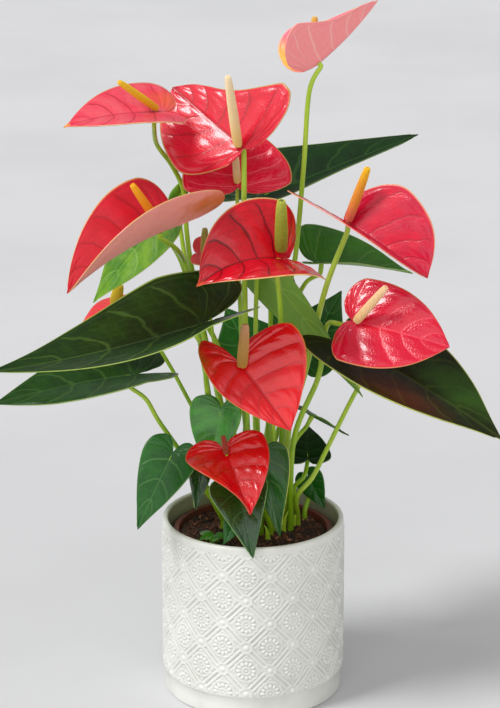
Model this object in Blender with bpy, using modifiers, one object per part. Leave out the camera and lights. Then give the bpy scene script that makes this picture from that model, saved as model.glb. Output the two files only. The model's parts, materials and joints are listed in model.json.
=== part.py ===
"""Potted anthurium: a flowering plant in a plastic nursery pot inside a glazed cover pot.

Units are metres in the scene, and the plant is laid out in millimetres from its crown,
the point in the middle of the potting mix's top. +Z is up, -Y is the front, and the
origin is the centre of the cover pot's flat base.
"""
from dataclasses import dataclass
from math import cos, pi, radians, sin

import bmesh
import bpy
from mathutils import Vector

MM = 0.001
GAP = 0.3 * MM  # clearance between pieces that touch

# Cover pot
POT_DIAMETER = 145 * MM
POT_HEIGHT = 145 * MM
POT_WALL = 5 * MM
POT_FLOOR = 8 * MM
FOOT_HEIGHT = 17 * MM
FOOT_INSET = 1.4 * MM
FOOT_EDGE = 2 * MM
LIP_STEPS = 6
POT_STEPS = 48

# Nursery pot and potting mix
SOIL_BELOW_RIM = 14 * MM
NURSERY_RIM_ABOVE_SOIL = 3 * MM
NURSERY_SLACK = 4 * MM  # free play all round inside the cover pot
NURSERY_TAPER = 16 * MM  # how much narrower each side is at the bottom
NURSERY_WALL = 1.4 * MM
NURSERY_LIP = 2.5 * MM
NURSERY_LIP_DEPTH = 6 * MM
NURSERY_STEPS = 36
DRAIN_HOLES = 6
DRAIN_STEPS = 12
DRAIN_RADIUS = 4 * MM
DRAIN_CIRCLE = 0.6  # of the nursery pot's bottom radius
SOIL_EDGE = 2 * MM
SOIL_STEPS = 32

# Plant
DESIGN_POT_DIAMETER = 145 * MM  # the pot that the plant's own measurements belong to
BLADE_THICKNESS = 1.2 * MM
SEAT = 4 * MM  # from the notch of a blade to where its stalk joins
NECK = 9 * MM  # length over which a stalk turns square to its blade
FAN = 0.45  # share of a blade's outline that the veins from the notch reach
WAIST_REACH = 0.4  # share of the midrib over which a narrowed half widens again
BLADE_ROWS = 10
BLADE_COLUMNS = 6
STALK_RESOLUTION = 1
FOOT_RISE = 5 * MM  # straight length of a stalk above the potting mix
POINTS_A_SPAN = 2
SPADIX_RESOLUTION = 2
LEAF_STALK_RADIUS = 2.1 * MM
STALK_TAPER = 0.8  # top radius as a share of the foot's

PLANT_SCALE = POT_DIAMETER / DESIGN_POT_DIAMETER
SOIL_TOP = POT_HEIGHT - SOIL_BELOW_RIM
CROWN = Vector((0, 0, SOIL_TOP))

# Half outlines, from the notch round the lobe to the tip: along the blade and across it,
# as shares of the blade's length and of its half width.
SPATHE_OUTLINE = [
    (-0.06, 0.02), (-0.26, 0.16), (-0.36, 0.42), (-0.27, 0.76), (-0.02, 0.97),
    (0.25, 0.96), (0.52, 0.74), (0.78, 0.38), (1.0, 0.0),
]
LEAF_OUTLINE = [
    (-0.04, 0.02), (-0.22, 0.20), (-0.27, 0.50), (-0.16, 0.86), (0.06, 1.0),
    (0.30, 0.88), (0.56, 0.60), (0.80, 0.26), (1.0, 0.0),
]

# A spadix along its length: share of the way to its tip, and share of its full radius.
SPADIX_SHAPE = [(0, 0.65), (0.06, 0.92), (0.2, 1.0), (0.6, 0.92), (0.92, 0.7), (1, 0.35)]


@dataclass
class Leaf:
    """A heart-shaped blade and its stalk, in millimetres from the crown and degrees.

    attach and tip are the ends of the midrib, and face is the way the upper side looks.
    Pairs give the left half and then the right half, seen along the midrib from above:
    fold lifts a half, opening changes the fold towards the tip, curl bends it across,
    lobes stretch the part behind the notch and halves its width, taper and waist narrow
    it before the tip and beside the notch, and belly moves its widest part forward. foot
    is where the stalk leaves the soil, and route holds the points it passes on the way up.
    """

    attach: tuple
    tip: tuple
    face: tuple
    width: float
    foot: tuple
    route: list
    fold: tuple = (0, 0)
    opening: tuple = (0, 0)
    curl: tuple = (0, 0)
    droop: float = 0
    lobes: tuple = (1, 1)
    halves: tuple = (1, 1)
    taper: tuple = (0, 0)
    belly: tuple = (0, 0)
    waist: tuple = (0, 0)


@dataclass
class Flower(Leaf):
    """A coloured spathe with its spadix on a stem of its own."""

    stem_radius: float = 2.2
    spadix_tip: tuple = (0, 0, 0)
    spadix_radius: float = 3


FLOWERS = [
    Flower(
        attach=(47, 20, 374), tip=(95, 40, 421), face=(-7, 1, 7),
        width=82, fold=(62, 60), droop=-15, lobes=(0.7, 0.7), taper=(0.3, 0.3),
        foot=(20, 28),
        route=[
            (24, 12, 107), (26, 8, 186), (33, 8, 227),
            (39, 12, 297), (43, 18, 354),
        ],
        stem_radius=2.2, spadix_tip=(47, 30, 410), spadix_radius=3.2,
    ),
    Flower(
        attach=(-70, -22, 348), tip=(-141, -50, 343), face=(0, -1, 10),
        width=70, fold=(5, 22), curl=(0, 10), droop=20, lobes=(0.5, 0.6),
        foot=(0, 26),
        route=[
            (-14, 12, 71), (-26, 14, 144), (-40, 14, 177), (-48, 18, 214),
            (-52, 26, 242), (-54, 32, 271), (-63, 30, 293), (-74, 10, 315),
        ],
        stem_radius=2.2, spadix_tip=(-100, -40, 375), spadix_radius=2.8,
    ),
    Flower(
        attach=(-8, -20, 319), tip=(-62, 35, 354), face=(-4, -7, 6),
        width=124, fold=(0, 8), droop=0, lobes=(0.05, 0.4), halves=(0.76, 0.94),
        taper=(0, 0.4), belly=(0.42, 0), waist=(0.6, 0),
        foot=(6, 12), route=[(-4, -8, 80), (-6, -12, 172), (-7, -16, 246)],
        stem_radius=2.5, spadix_tip=(-19, -35, 378), spadix_radius=3.6,
    ),
    Flower(
        attach=(-67, -57, 265), tip=(-138, -97, 228), face=(5, 0, 8),
        width=106, fold=(65, 28), curl=(10, 10), droop=30, lobes=(1.3, 0.5), halves=(1, 0.88),
        foot=(-6, 20),
        route=[
            (-20, 2, 85), (-34, 0, 144), (-47, -2, 202),
            (-53, -8, 226), (-59, -36, 245),
        ],
        stem_radius=2.3, spadix_tip=(-90, -67, 303), spadix_radius=3.2,
    ),
    Flower(
        attach=(23, -50, 241), tip=(-42, -85, 230), face=(0, 0, 10),
        width=104, fold=(0, 60), droop=50, lobes=(0.8, 0.4),
        foot=(16, 2), route=[(15, -24, 86), (21, -38, 183)],
        stem_radius=2.3, spadix_tip=(21, -60, 289), spadix_radius=4.8,
    ),
    Flower(
        attach=(70, -10, 260), tip=(132, -50, 226), face=(4, -7, 6),
        width=112, fold=(42, 50), droop=10, lobes=(0.1, 1.4), halves=(0.88, 1),
        belly=(0.4, 0.3), waist=(0.45, 0),
        foot=(28, 20), route=[(28, 0, 86), (40, -2, 131), (56, 0, 201)],
        stem_radius=2.6, spadix_tip=(87, -20, 304), spadix_radius=3.6,
    ),
    Flower(
        attach=(76, -50, 192), tip=(148, -75, 179), face=(0, -8, 6),
        width=72, fold=(5, 5), droop=10, lobes=(0.4, 0.35), belly=(0.22, 0.22),
        foot=(30, 6),
        route=[
            (32, -10, 81), (51, -8, 132), (54, -12, 160),
            (58, -18, 179), (67, -34, 184),
        ],
        stem_radius=2.3, spadix_tip=(100, -65, 223), spadix_radius=3.4,
    ),
    Flower(
        attach=(-11, -73, 166), tip=(28, -103, 122), face=(0, -6, 7),
        width=104, fold=(10, 0), droop=10, lobes=(0.45, 1.3), halves=(1, 0.52),
        foot=(6, -6), route=[(-7, -21, 60), (-5, -40, 116)],
        stem_radius=2.4, spadix_tip=(-6, -76, 197), spadix_radius=4.0,
    ),
    Flower(
        attach=(-22, -60, 91), tip=(-2, -95, 51), face=(0, -7, 7),
        width=66, fold=(10, 10), opening=(0, 75), droop=10, lobes=(0.4, 0.6),
        foot=(-4, -8), route=[(-13, -32, 47)],
        stem_radius=2.0, spadix_tip=(-23, -62, 103), spadix_radius=2.2,
    ),
    Flower(
        attach=(-12, 15, 280), tip=(-16, 50, 326), face=(0, -7, 6),
        width=86, fold=(5, 5), droop=0, lobes=(0.35, 0.35),
        foot=(8, 32), route=[(-6, 14, 81), (-10, 12, 181), (-12, 12, 230)],
        stem_radius=1.8, spadix_tip=(-14, 5, 312), spadix_radius=2.8,
    ),
    Flower(
        attach=(-104, 30, 181), tip=(-137, 15, 166), face=(-3, -2, 8),
        width=40, fold=(0, 0), droop=20, lobes=(1.0, 1.0),
        foot=(-14, 28), route=[(-31, 16, 63), (-49, 18, 100), (-78, 24, 151)],
        stem_radius=1.8, spadix_tip=(-105, 25, 198), spadix_radius=4.6,
    ),
    Flower(
        attach=(-42, -8, 233), tip=(-13, -8, 226), face=(0, -3, 8),
        width=40, fold=(10, 10), droop=20, lobes=(0.5, 0.5),
        foot=(-8, 36), route=[(-25, 16, 80), (-31, 0, 160)],
        stem_radius=1.5, spadix_tip=(-37, -8, 253), spadix_radius=2.8,
    ),
]

LEAVES = [
    Leaf(
        attach=(-41, -60, 192), tip=(-195, -105, 169), face=(0, 0, 10),
        width=112, fold=(17, 32), opening=(-35, 0), droop=-10, lobes=(1.0, 1.0), taper=(0.12, 0.12),
        foot=(-12, 8), route=[(-24, -10, 72), (-35, -19, 118), (-38, -50, 168)],
    ),
    Leaf(
        attach=(-95, 15, 127), tip=(-204, -20, 114), face=(0, 0, 10),
        width=88, fold=(12, 25), opening=(-35, 0), droop=10, lobes=(1.0, 1.0),
        foot=(-20, 18), route=[(-38, 4, 33), (-59, 6, 67), (-75, 10, 90), (-85, 13, 107)],
    ),
    Leaf(
        attach=(7, 68, 259), tip=(132, 101, 301), face=(2, -3, 9),
        width=96, fold=(5, 35), droop=0, lobes=(1.0, 1.0), taper=(0.1, 0.1),
        foot=(14, 40), route=[(12, 28, 67), (14, 40, 164), (12, 58, 217)],
    ),
    Leaf(
        attach=(51, 60, 206), tip=(129, 85, 190), face=(0, 0, 10),
        width=84, fold=(35, 15), droop=10, lobes=(0.5, 0.8),
        foot=(28, 42), route=[(25, 38, 63), (33, 42, 165), (41, 52, 190)],
    ),
    Leaf(
        attach=(88, -40, 162), tip=(187, -100, 114), face=(2, -5, 8),
        width=96, fold=(5, 10), droop=10, lobes=(1.0, 1.5), halves=(1, 0.8), belly=(0.15, 0.15),
        foot=(36, 16), route=[(35, -2, 30), (47, -4, 47), (58, -8, 72), (77, -12, 115)],
    ),
    Leaf(
        attach=(4, -4, 225), tip=(85, -34, 125), face=(5, 10, 0),
        width=46, fold=(5, 5), droop=10, lobes=(0.5, 0.5), halves=(1, 0.6),
        foot=(7, 21), route=[(4, 8, 74), (2, 12, 156)],
    ),
    Leaf(
        attach=(2, 60, 122), tip=(-22, 80, 162), face=(0, -8, 4),
        width=66, fold=(5, 5), droop=0, lobes=(1.0, 1.0),
        foot=(2, 46), route=[(2, 44, 61)],
    ),
    Leaf(
        attach=(43, 50, 134), tip=(71, 65, 181), face=(0, -8, 4),
        width=52, fold=(5, 5), droop=0, lobes=(1.0, 1.0),
        foot=(16, 48), route=[(18, 44, 61)],
    ),
    Leaf(
        attach=(28, 62, 145), tip=(31, 82, 193), face=(0, -8, 4),
        width=32, fold=(5, 5), droop=0, lobes=(1.0, 1.0),
        foot=(8, 48), route=[(10, 52, 58)],
    ),
    Leaf(
        attach=(-63, -30, 77), tip=(-90, -55, 23), face=(-2, -7, 6),
        width=46, fold=(5, 5), droop=10, lobes=(0.7, 0.7),
        foot=(-16, 4), route=[(-32, -16, 38), (-50, -22, 60)],
    ),
    Leaf(
        attach=(-25, -30, 114), tip=(-35, -40, 63), face=(-1, -9, 4),
        width=48, fold=(40, 5), droop=10, lobes=(0.6, 0.6),
        foot=(-2, 2), route=[(-15, -18, 59), (-21, -24, 94)],
    ),
    Leaf(
        attach=(9, -38, 81), tip=(21, -54, 16), face=(-5, -8, 3),
        width=44, fold=(5, 25), droop=10, lobes=(0.4, 0.4), halves=(1, 0.7),
        foot=(14, -8), route=[(7, -30, 46)],
    ),
    Leaf(
        attach=(-12, -50, 58), tip=(0, -80, 9), face=(0, -8, 6),
        width=46, fold=(5, 5), droop=20, lobes=(0.5, 0.5), taper=(0.15, 0.15),
        foot=(2, -14), route=[(-4, -38, 37)],
    ),
    Leaf(
        attach=(-10, -48, 35), tip=(-23, -62, 13), face=(0, -8, 6),
        width=22, fold=(5, 5), droop=10, lobes=(1.0, 1.0),
        foot=(-8, -18), route=[],
    ),
    Leaf(
        attach=(-41, -25, 67), tip=(-45, -40, 33), face=(0, -8, 4),
        width=20, fold=(5, 25), droop=10, lobes=(1.0, 1.0),
        foot=(-24, 8), route=[(-36, -4, 36)],
    ),
    Leaf(
        attach=(44, 28, 51), tip=(44, 58, 70), face=(0, -6, 8),
        width=38, fold=(5, 5), droop=0, lobes=(0.6, 0.6),
        foot=(36, 28), route=[(33, 26, 26), (41, 27, 36)],
    ),
    Leaf(
        attach=(44, 24, 91), tip=(77, 29, 71), face=(2, 2, 9),
        width=26, fold=(15, 15), droop=0, lobes=(1.0, 1.0),
        foot=(28, 28), route=[(31, 11, 65)],
    ),
    Leaf(
        attach=(45, 35, 32), tip=(58, 26, 9), face=(-3, -9, 2),
        width=24, fold=(5, 5), droop=0, lobes=(1.0, 1.0),
        foot=(42, 30), route=[],
    ),
    Leaf(
        attach=(-74, 5, 255), tip=(-124, -10, 194), face=(-3, -7, 6),
        width=50, fold=(5, 5), droop=0, lobes=(0.7, 0.7),
        foot=(-16, 36), route=[(-30, 20, 78), (-45, 20, 170), (-56, 16, 219)],
    ),
    Leaf(
        attach=(-60, 40, 263), tip=(-49, 45, 284), face=(3, -8, 2),
        width=14, fold=(5, 5), droop=0, lobes=(1.0, 1.0),
        foot=(-4, 42), route=[(-22, 26, 76), (-39, 32, 158), (-53, 38, 213)],
    ),
]


def place(point):
    """Turn millimetres from the crown into a scene position."""
    return CROWN + Vector(point) * MM * PLANT_SCALE


def smooth_point(points, t):
    """Return the point at share t, 0 to 1, of a Catmull-Rom curve through the points."""
    points = [Vector(p) for p in points]
    ends = [2 * points[0] - points[1]] + points + [2 * points[-1] - points[-2]]
    spans = len(points) - 1
    k = min(int(t * spans), spans - 1)
    f = t * spans - k
    a, b, c, d = ends[k:k + 4]
    return 0.5 * (2 * b + (c - a) * f + (2 * a - 5 * b + 4 * c - d) * f * f
                  + (3 * b - a - 3 * c + d) * f ** 3)


class Blade:
    """The bent sheet of a leaf or spathe: gives the place of any point on it."""

    def __init__(self, plan, outline):
        self.plan = plan
        self.outline = outline
        self.base = place(plan.attach)
        chord = place(plan.tip) - self.base
        self.length = chord.length
        self.along = chord.normalized()
        self.across = Vector(plan.face).cross(self.along).normalized()
        self.up = self.along.cross(self.across)
        self.half_width = plan.width / 2 * MM * PLANT_SCALE

    def margin(self, s, side):
        """Return the outline point at share s on a side, as along and across shares."""
        plan = self.plan
        u, w = smooth_point(self.outline, s)
        if u < 0:
            u *= plan.lobes[side]
        else:
            u += 0.5 * plan.belly[side] * sin(pi * u)
            w *= 1 - plan.taper[side] * sin(pi * min(1, max(0, (u - 0.1) / 0.9)))
        w *= 1 - plan.waist[side] * (1 - min(1, max(0, u) / WAIST_REACH)) ** 2
        return u, w * plan.halves[side]

    def bend(self, u, height, offset):
        """Carry a point at share u, lifted and moved aside, along the drooping midrib."""
        droop = radians(self.plan.droop)
        if abs(droop) < 0.001:
            return self.base + self.along * u * self.length + self.across * offset + self.up * height
        radius = self.length / (2 * sin(droop / 2))
        angle = droop * (u - 0.5)
        reach = self.length / 2 + (radius + height) * sin(angle)
        rise = (radius + height) * cos(angle) - radius * cos(droop / 2)
        return self.base + self.along * reach + self.across * offset + self.up * rise

    def point(self, s, v):
        """Return the point at share s along the outline and v, -1 to 1, across."""
        plan = self.plan
        side = 0 if v >= 0 else 1
        share = abs(v)
        root = max(0, (s - FAN) / (1 - FAN))
        edge_u, edge_w = self.margin(s, side)
        u = root + (edge_u - root) * share
        reach = edge_w * share * self.half_width
        fold = radians(plan.fold[side] + plan.opening[side] * max(0, u))
        bend = radians(plan.curl[side]) / self.half_width
        if abs(bend) < 1e-6:
            offset = reach * cos(fold)
            height = reach * sin(fold)
        else:
            offset = (sin(fold + bend * reach) - sin(fold)) / bend
            height = (cos(fold) - cos(fold + bend * reach)) / bend
        return self.bend(u, height, offset if side == 0 else -offset)

    def seat(self):
        """Return where the stalk joins the midrib, and the blade's normal there."""
        u = SEAT / self.length
        angle = radians(self.plan.droop) * (u - 0.5)
        normal = self.along * sin(angle) + self.up * cos(angle)
        return self.bend(u, 0, 0), normal


def material(name, colour, roughness):
    """Make a Principled material."""
    mat = bpy.data.materials.new(name)
    mat.use_nodes = True
    shader = mat.node_tree.nodes["Principled BSDF"]
    shader.inputs["Base Color"].default_value = (*colour, 1)
    shader.inputs["Roughness"].default_value = roughness
    shader.inputs["Metallic"].default_value = 0
    return mat


def new_object(name, data, collection, mat=None):
    """Link an object to a collection."""
    obj = bpy.data.objects.new(name, data)
    collection.objects.link(obj)
    if mat:
        data.materials.append(mat)
    return obj


def blade_object(name, blade, collection, mat):
    """Make a blade: a grid laid on the bent sheet, with its thickness added."""
    bm = bmesh.new()
    bmesh.ops.create_grid(bm, x_segments=BLADE_ROWS, y_segments=BLADE_COLUMNS, size=0.5)
    for vert in bm.verts:
        vert.co = blade.point(vert.co.x + 0.5, vert.co.y * 2)
    bmesh.ops.remove_doubles(bm, verts=bm.verts, dist=1e-6)
    bmesh.ops.recalc_face_normals(bm, faces=bm.faces)
    mesh = bpy.data.meshes.new(name)
    bm.to_mesh(mesh)
    bm.free()
    mesh.shade_smooth()
    obj = new_object(name, mesh, collection, mat)
    solid = obj.modifiers.new("Thickness", "SOLIDIFY")
    solid.thickness = BLADE_THICKNESS
    solid.offset = 0
    return obj


def tube_object(name, points, radii, collection, mat, resolution=STALK_RESOLUTION):
    """Make a round rod along the points with a radius at each."""
    curve = bpy.data.curves.new(name, "CURVE")
    curve.dimensions = "3D"
    curve.bevel_depth = 1
    curve.bevel_resolution = resolution
    curve.use_fill_caps = True
    spline = curve.splines.new("POLY")
    spline.points.add(len(points) - 1)
    for slot, point, radius in zip(spline.points, points, radii):
        slot.co = (*point, 1)
        slot.radius = radius
    return new_object(name, curve, collection, mat)


def stalk_points(plan, end, normal, stop):
    """Return a stalk's points: from the soil, along its route, then square to the blade."""
    foot = place((*plan.foot, 0)) + Vector((0, 0, GAP))
    rise = foot + Vector((0, 0, FOOT_RISE))
    top = end - normal * stop
    corners = [foot, rise] + [place(p) for p in plan.route] + [end - normal * NECK, top]
    spans = len(corners) - 1
    between = range(POINTS_A_SPAN, POINTS_A_SPAN * (spans - 1) + 1)
    return [foot] + [smooth_point(corners, i / (POINTS_A_SPAN * spans)) for i in between] + [top]


def stalk_object(name, points, radius, collection, mat):
    """Make a stalk that thins from the soil to its blade."""
    last = len(points) - 1
    radii = [radius * (1 - (1 - STALK_TAPER) * i / last) for i in range(last + 1)]
    return tube_object(name, points, radii, collection, mat)


def as_mesh(obj, collection):
    """Turn a curve object into a closed mesh object used only for joining or cutting."""
    name = obj.name
    depsgraph = bpy.context.evaluated_depsgraph_get()
    mesh = bpy.data.meshes.new_from_object(obj.evaluated_get(depsgraph))
    bm = bmesh.new()
    bm.from_mesh(mesh)
    bmesh.ops.remove_doubles(bm, verts=bm.verts, dist=1e-6)
    bmesh.ops.recalc_face_normals(bm, faces=bm.faces)
    bm.to_mesh(mesh)
    bm.free()
    matrix = obj.matrix_world.copy()
    bpy.data.objects.remove(obj)
    helper = bpy.data.objects.new(name, mesh)
    helper.matrix_world = matrix
    collection.objects.link(helper)
    hide_helper(helper)
    return helper


def hide_helper(obj):
    """Mark an object as a cutter or guide."""
    obj.hide_render = True
    obj.display_type = "WIRE"


def make_leaf(name, plan, parts, helpers, mat):
    """Make a leaf: its blade and stalk grow as one piece."""
    blade = Blade(plan, LEAF_OUTLINE)
    obj = blade_object(name, blade, parts, mat)
    end, normal = blade.seat()
    points = stalk_points(plan, end, normal, 0)
    stalk = stalk_object(name + "_stalk", points, LEAF_STALK_RADIUS, helpers, mat)
    join = obj.modifiers.new("Stalk", "BOOLEAN")
    join.operation = "UNION"
    join.object = as_mesh(stalk, helpers)


def make_flower(number, plan, parts, mats):
    """Make a flower's three pieces: stem, spathe and spadix."""
    blade = Blade(plan, SPATHE_OUTLINE)
    blade_object(f"spathe_{number:02d}", blade, parts, mats["spathe"])
    end, normal = blade.seat()
    clear = BLADE_THICKNESS / 2 + GAP
    points = stalk_points(plan, end, normal, clear)
    radius = plan.stem_radius * MM
    stalk_object(f"flower_stem_{number:02d}", points, radius, parts, mats["stem"])
    spadix_radius = plan.spadix_radius * MM
    lift = (clear + SPADIX_SHAPE[0][1] * spadix_radius) / cos(radians(max(plan.fold)))
    start = end + normal * lift
    axis = place(plan.spadix_tip) - start
    points = [start + axis * t for t, r in SPADIX_SHAPE]
    radii = [spadix_radius * r for t, r in SPADIX_SHAPE]
    tube_object(f"spadix_{number:02d}", points, radii, parts, mats["spadix"], SPADIX_RESOLUTION)


def turned(name, profile, steps, collection, mat):
    """Make a turned shape from a profile of radius and height, outer side downwards."""
    mesh = bpy.data.meshes.new(name)
    mesh.from_pydata([(r, 0, z) for r, z in profile], [(i, i + 1) for i in range(len(profile) - 1)], [])
    obj = new_object(name, mesh, collection, mat)
    screw = obj.modifiers.new("Turn", "SCREW")
    screw.axis = "Z"
    screw.angle = 2 * pi
    screw.steps = steps
    screw.render_steps = steps
    screw.use_merge_vertices = True
    screw.merge_threshold = 0.00001
    screw.use_smooth_shade = True
    return obj


def arc(centre, radius, start, stop, count):
    """Return points of an arc about a centre, angles in degrees."""
    angles = [radians(start + (stop - start) * i / count) for i in range(count + 1)]
    return [(centre[0] + radius * cos(a), centre[1] + radius * sin(a)) for a in angles]


def make_cover_pot(parts, mat):
    """Make the glazed cover pot: one wall with a rounded lip and a plain inset foot."""
    outer = POT_DIAMETER / 2
    inner = outer - POT_WALL
    lip = POT_WALL / 2
    profile = [(0, POT_FLOOR), (inner, POT_FLOOR)]
    profile += arc((outer - lip, POT_HEIGHT - lip), lip, 180, 0, LIP_STEPS)
    profile += [
        (outer, FOOT_HEIGHT + FOOT_INSET), (outer - FOOT_INSET, FOOT_HEIGHT),
        (outer - FOOT_INSET, FOOT_EDGE), (outer - FOOT_INSET - FOOT_EDGE, 0), (0, 0),
    ]
    turned("cover_pot", profile, POT_STEPS, parts, mat)


def nursery_radius(height):
    """Return the nursery pot's outer radius at a height in the scene."""
    top = POT_DIAMETER / 2 - POT_WALL - NURSERY_SLACK - NURSERY_LIP
    bottom_z = POT_FLOOR + GAP
    top_z = SOIL_TOP + NURSERY_RIM_ABOVE_SOIL
    share = (height - bottom_z) / (top_z - bottom_z)
    return top - NURSERY_TAPER * (1 - share)


def make_nursery_pot(parts, helpers, mat):
    """Make the plastic nursery pot with its rolled lip and drain holes."""
    bottom = POT_FLOOR + GAP
    top = SOIL_TOP + NURSERY_RIM_ABOVE_SOIL
    floor = bottom + NURSERY_WALL
    low = nursery_radius(bottom)
    high = nursery_radius(top)
    lip_z = top - NURSERY_LIP_DEPTH
    profile = [
        (0, floor), (nursery_radius(floor) - NURSERY_WALL, floor), (high - NURSERY_WALL, top),
        (high + NURSERY_LIP, top), (high + NURSERY_LIP, lip_z), (nursery_radius(lip_z), lip_z),
        (low, bottom), (0, bottom),
    ]
    pot = turned("nursery_pot", profile, NURSERY_STEPS, parts, mat)
    for i in range(DRAIN_HOLES):
        angle = 2 * pi * i / DRAIN_HOLES
        spot = Vector((cos(angle), sin(angle), 0)) * low * DRAIN_CIRCLE
        bm = bmesh.new()
        bmesh.ops.create_cone(
            bm, cap_ends=True, segments=DRAIN_STEPS, radius1=DRAIN_RADIUS, radius2=DRAIN_RADIUS,
            depth=NURSERY_WALL * 4,
        )
        mesh = bpy.data.meshes.new(f"drain_{i + 1}")
        bm.to_mesh(mesh)
        bm.free()
        cutter = new_object(mesh.name, mesh, helpers)
        cutter.location = spot + Vector((0, 0, bottom + NURSERY_WALL / 2))
        hide_helper(cutter)
        cut = pot.modifiers.new("Drain hole", "BOOLEAN")
        cut.operation = "DIFFERENCE"
        cut.object = cutter


def make_potting_mix(parts, mat):
    """Make the potting mix that fills the nursery pot."""
    bottom = POT_FLOOR + GAP + NURSERY_WALL + GAP
    inset = NURSERY_WALL + GAP * 2
    edge = SOIL_TOP - SOIL_EDGE
    profile = [
        (0, SOIL_TOP), (nursery_radius(SOIL_TOP) - inset - SOIL_EDGE, SOIL_TOP),
        (nursery_radius(edge) - inset, edge), (nursery_radius(bottom) - inset, bottom), (0, bottom),
    ]
    turned("potting_mix", profile, SOIL_STEPS, parts, mat)


def main():
    """Clear the scene and build the plant and its pots."""
    for obj in list(bpy.data.objects):
        bpy.data.objects.remove(obj)
    parts = bpy.data.collections.new("potted_anthurium")
    helpers = bpy.data.collections.new("cutters")
    bpy.context.scene.collection.children.link(parts)
    bpy.context.scene.collection.children.link(helpers)
    mats = {
        "glaze": material("glaze", (0.74, 0.76, 0.72), 0.35),
        "plastic": material("nursery_plastic", (0.30, 0.09, 0.06), 0.5),
        "mix": material("potting_mix", (0.07, 0.035, 0.02), 0.95),
        "leaf": material("leaf", (0.04, 0.13, 0.03), 0.35),
        "stem": material("stem", (0.35, 0.52, 0.08), 0.45),
        "spathe": material("spathe", (0.75, 0.03, 0.05), 0.3),
        "spadix": material("spadix", (0.85, 0.62, 0.20), 0.6),
    }
    make_cover_pot(parts, mats["glaze"])
    make_nursery_pot(parts, helpers, mats["plastic"])
    make_potting_mix(parts, mats["mix"])
    for number, plan in enumerate(FLOWERS, 1):
        make_flower(number, plan, parts, mats)
    for number, plan in enumerate(LEAVES, 1):
        make_leaf(f"leaf_{number:02d}", plan, parts, helpers, mats["leaf"])


main()
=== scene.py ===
"""Looks for the potted anthurium: glossy spathes, veined leaves and a moulded glazed pot.

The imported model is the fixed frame. The plant is laid out in millimetres from its crown, the
point in the middle of the potting mix's top, as in the part's own source; everything else is
in metres. Blades are bent sheets with raised quilting between their veins, and stalks,
spadices and bark are made by node trees.
"""
import json
import logging
from dataclasses import dataclass, field
from enum import Enum
from math import cos, hypot, pi, radians, sin
from typing import Any, Optional, Union

import bmesh
import bpy
import numpy as np
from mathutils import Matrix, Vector


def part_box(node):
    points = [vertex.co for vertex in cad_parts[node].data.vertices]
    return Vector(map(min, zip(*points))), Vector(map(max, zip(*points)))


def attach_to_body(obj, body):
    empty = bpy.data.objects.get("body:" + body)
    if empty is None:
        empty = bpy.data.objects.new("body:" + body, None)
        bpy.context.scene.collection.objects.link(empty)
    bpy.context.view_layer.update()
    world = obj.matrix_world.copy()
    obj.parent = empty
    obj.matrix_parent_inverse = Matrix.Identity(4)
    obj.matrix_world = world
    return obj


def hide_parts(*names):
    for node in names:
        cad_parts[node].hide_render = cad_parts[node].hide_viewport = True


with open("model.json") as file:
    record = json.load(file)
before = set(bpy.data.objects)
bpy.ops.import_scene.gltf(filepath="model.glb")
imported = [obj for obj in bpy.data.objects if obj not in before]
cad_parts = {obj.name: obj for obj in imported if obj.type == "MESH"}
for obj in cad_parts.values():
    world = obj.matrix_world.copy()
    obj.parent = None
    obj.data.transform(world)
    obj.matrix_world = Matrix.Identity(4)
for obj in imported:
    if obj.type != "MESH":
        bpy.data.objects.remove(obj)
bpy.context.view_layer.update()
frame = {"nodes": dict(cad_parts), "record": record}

log = logging.getLogger("anthurium")

MM = 0.001
BODY = "root"

# The part's own sizes
POT_DIAMETER = 145 * MM
POT_HEIGHT = 145 * MM
POT_WALL = 5 * MM
POT_FLOOR = 8 * MM
FOOT_HEIGHT = 17 * MM
FOOT_INSET = 1.4 * MM
FOOT_EDGE = 2 * MM
SOIL_BELOW_RIM = 14 * MM
SOIL_TOP = POT_HEIGHT - SOIL_BELOW_RIM
CROWN = np.array((0, 0, SOIL_TOP))
SEAT = 4 * MM
NECK = 9 * MM
FAN = 0.45
WAIST_REACH = 0.4
FOOT_RISE = 5 * MM
BLADE_THICKNESS = 1.2 * MM
GAP = 0.3 * MM
STALK_TAPER = 0.8
LEAF_STALK_RADIUS = 2.1 * MM

SPATHE_OUTLINE = np.array([
    (-0.06, 0.02), (-0.26, 0.16), (-0.36, 0.42), (-0.27, 0.76), (-0.02, 0.97),
    (0.25, 0.96), (0.52, 0.74), (0.78, 0.38), (1.0, 0.0),
])
LEAF_OUTLINE = np.array([
    (-0.04, 0.02), (-0.22, 0.20), (-0.27, 0.50), (-0.16, 0.86), (0.06, 1.0),
    (0.30, 0.88), (0.56, 0.60), (0.80, 0.26), (1.0, 0.0),
])
SPADIX_SHAPE = [(0, 0.65), (0.06, 0.92), (0.2, 1.0), (0.6, 0.92), (0.92, 0.7), (1, 0.35)]

Colour = tuple[float, float, float]
Pair = tuple[float, float]
Point = tuple[float, float, float]


def tone(red: int, green: int, blue: int) -> Colour:
    """Turn a paint colour, 0 to 255 a channel, into the linear values that shaders take.

    Args:
        red: Red, 0 to 255.
        green: Green, 0 to 255.
        blue: Blue, 0 to 255.

    Returns:
        The colour in linear light.
    """
    def linear(level: float) -> float:
        """Return one channel in linear light."""
        share = level / 255
        return share / 12.92 if share <= 0.04045 else ((share + 0.055) / 1.055) ** 2.4
    return linear(red), linear(green), linear(blue)


# --- Node trees -----------------------------------------------------------------------------


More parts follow.
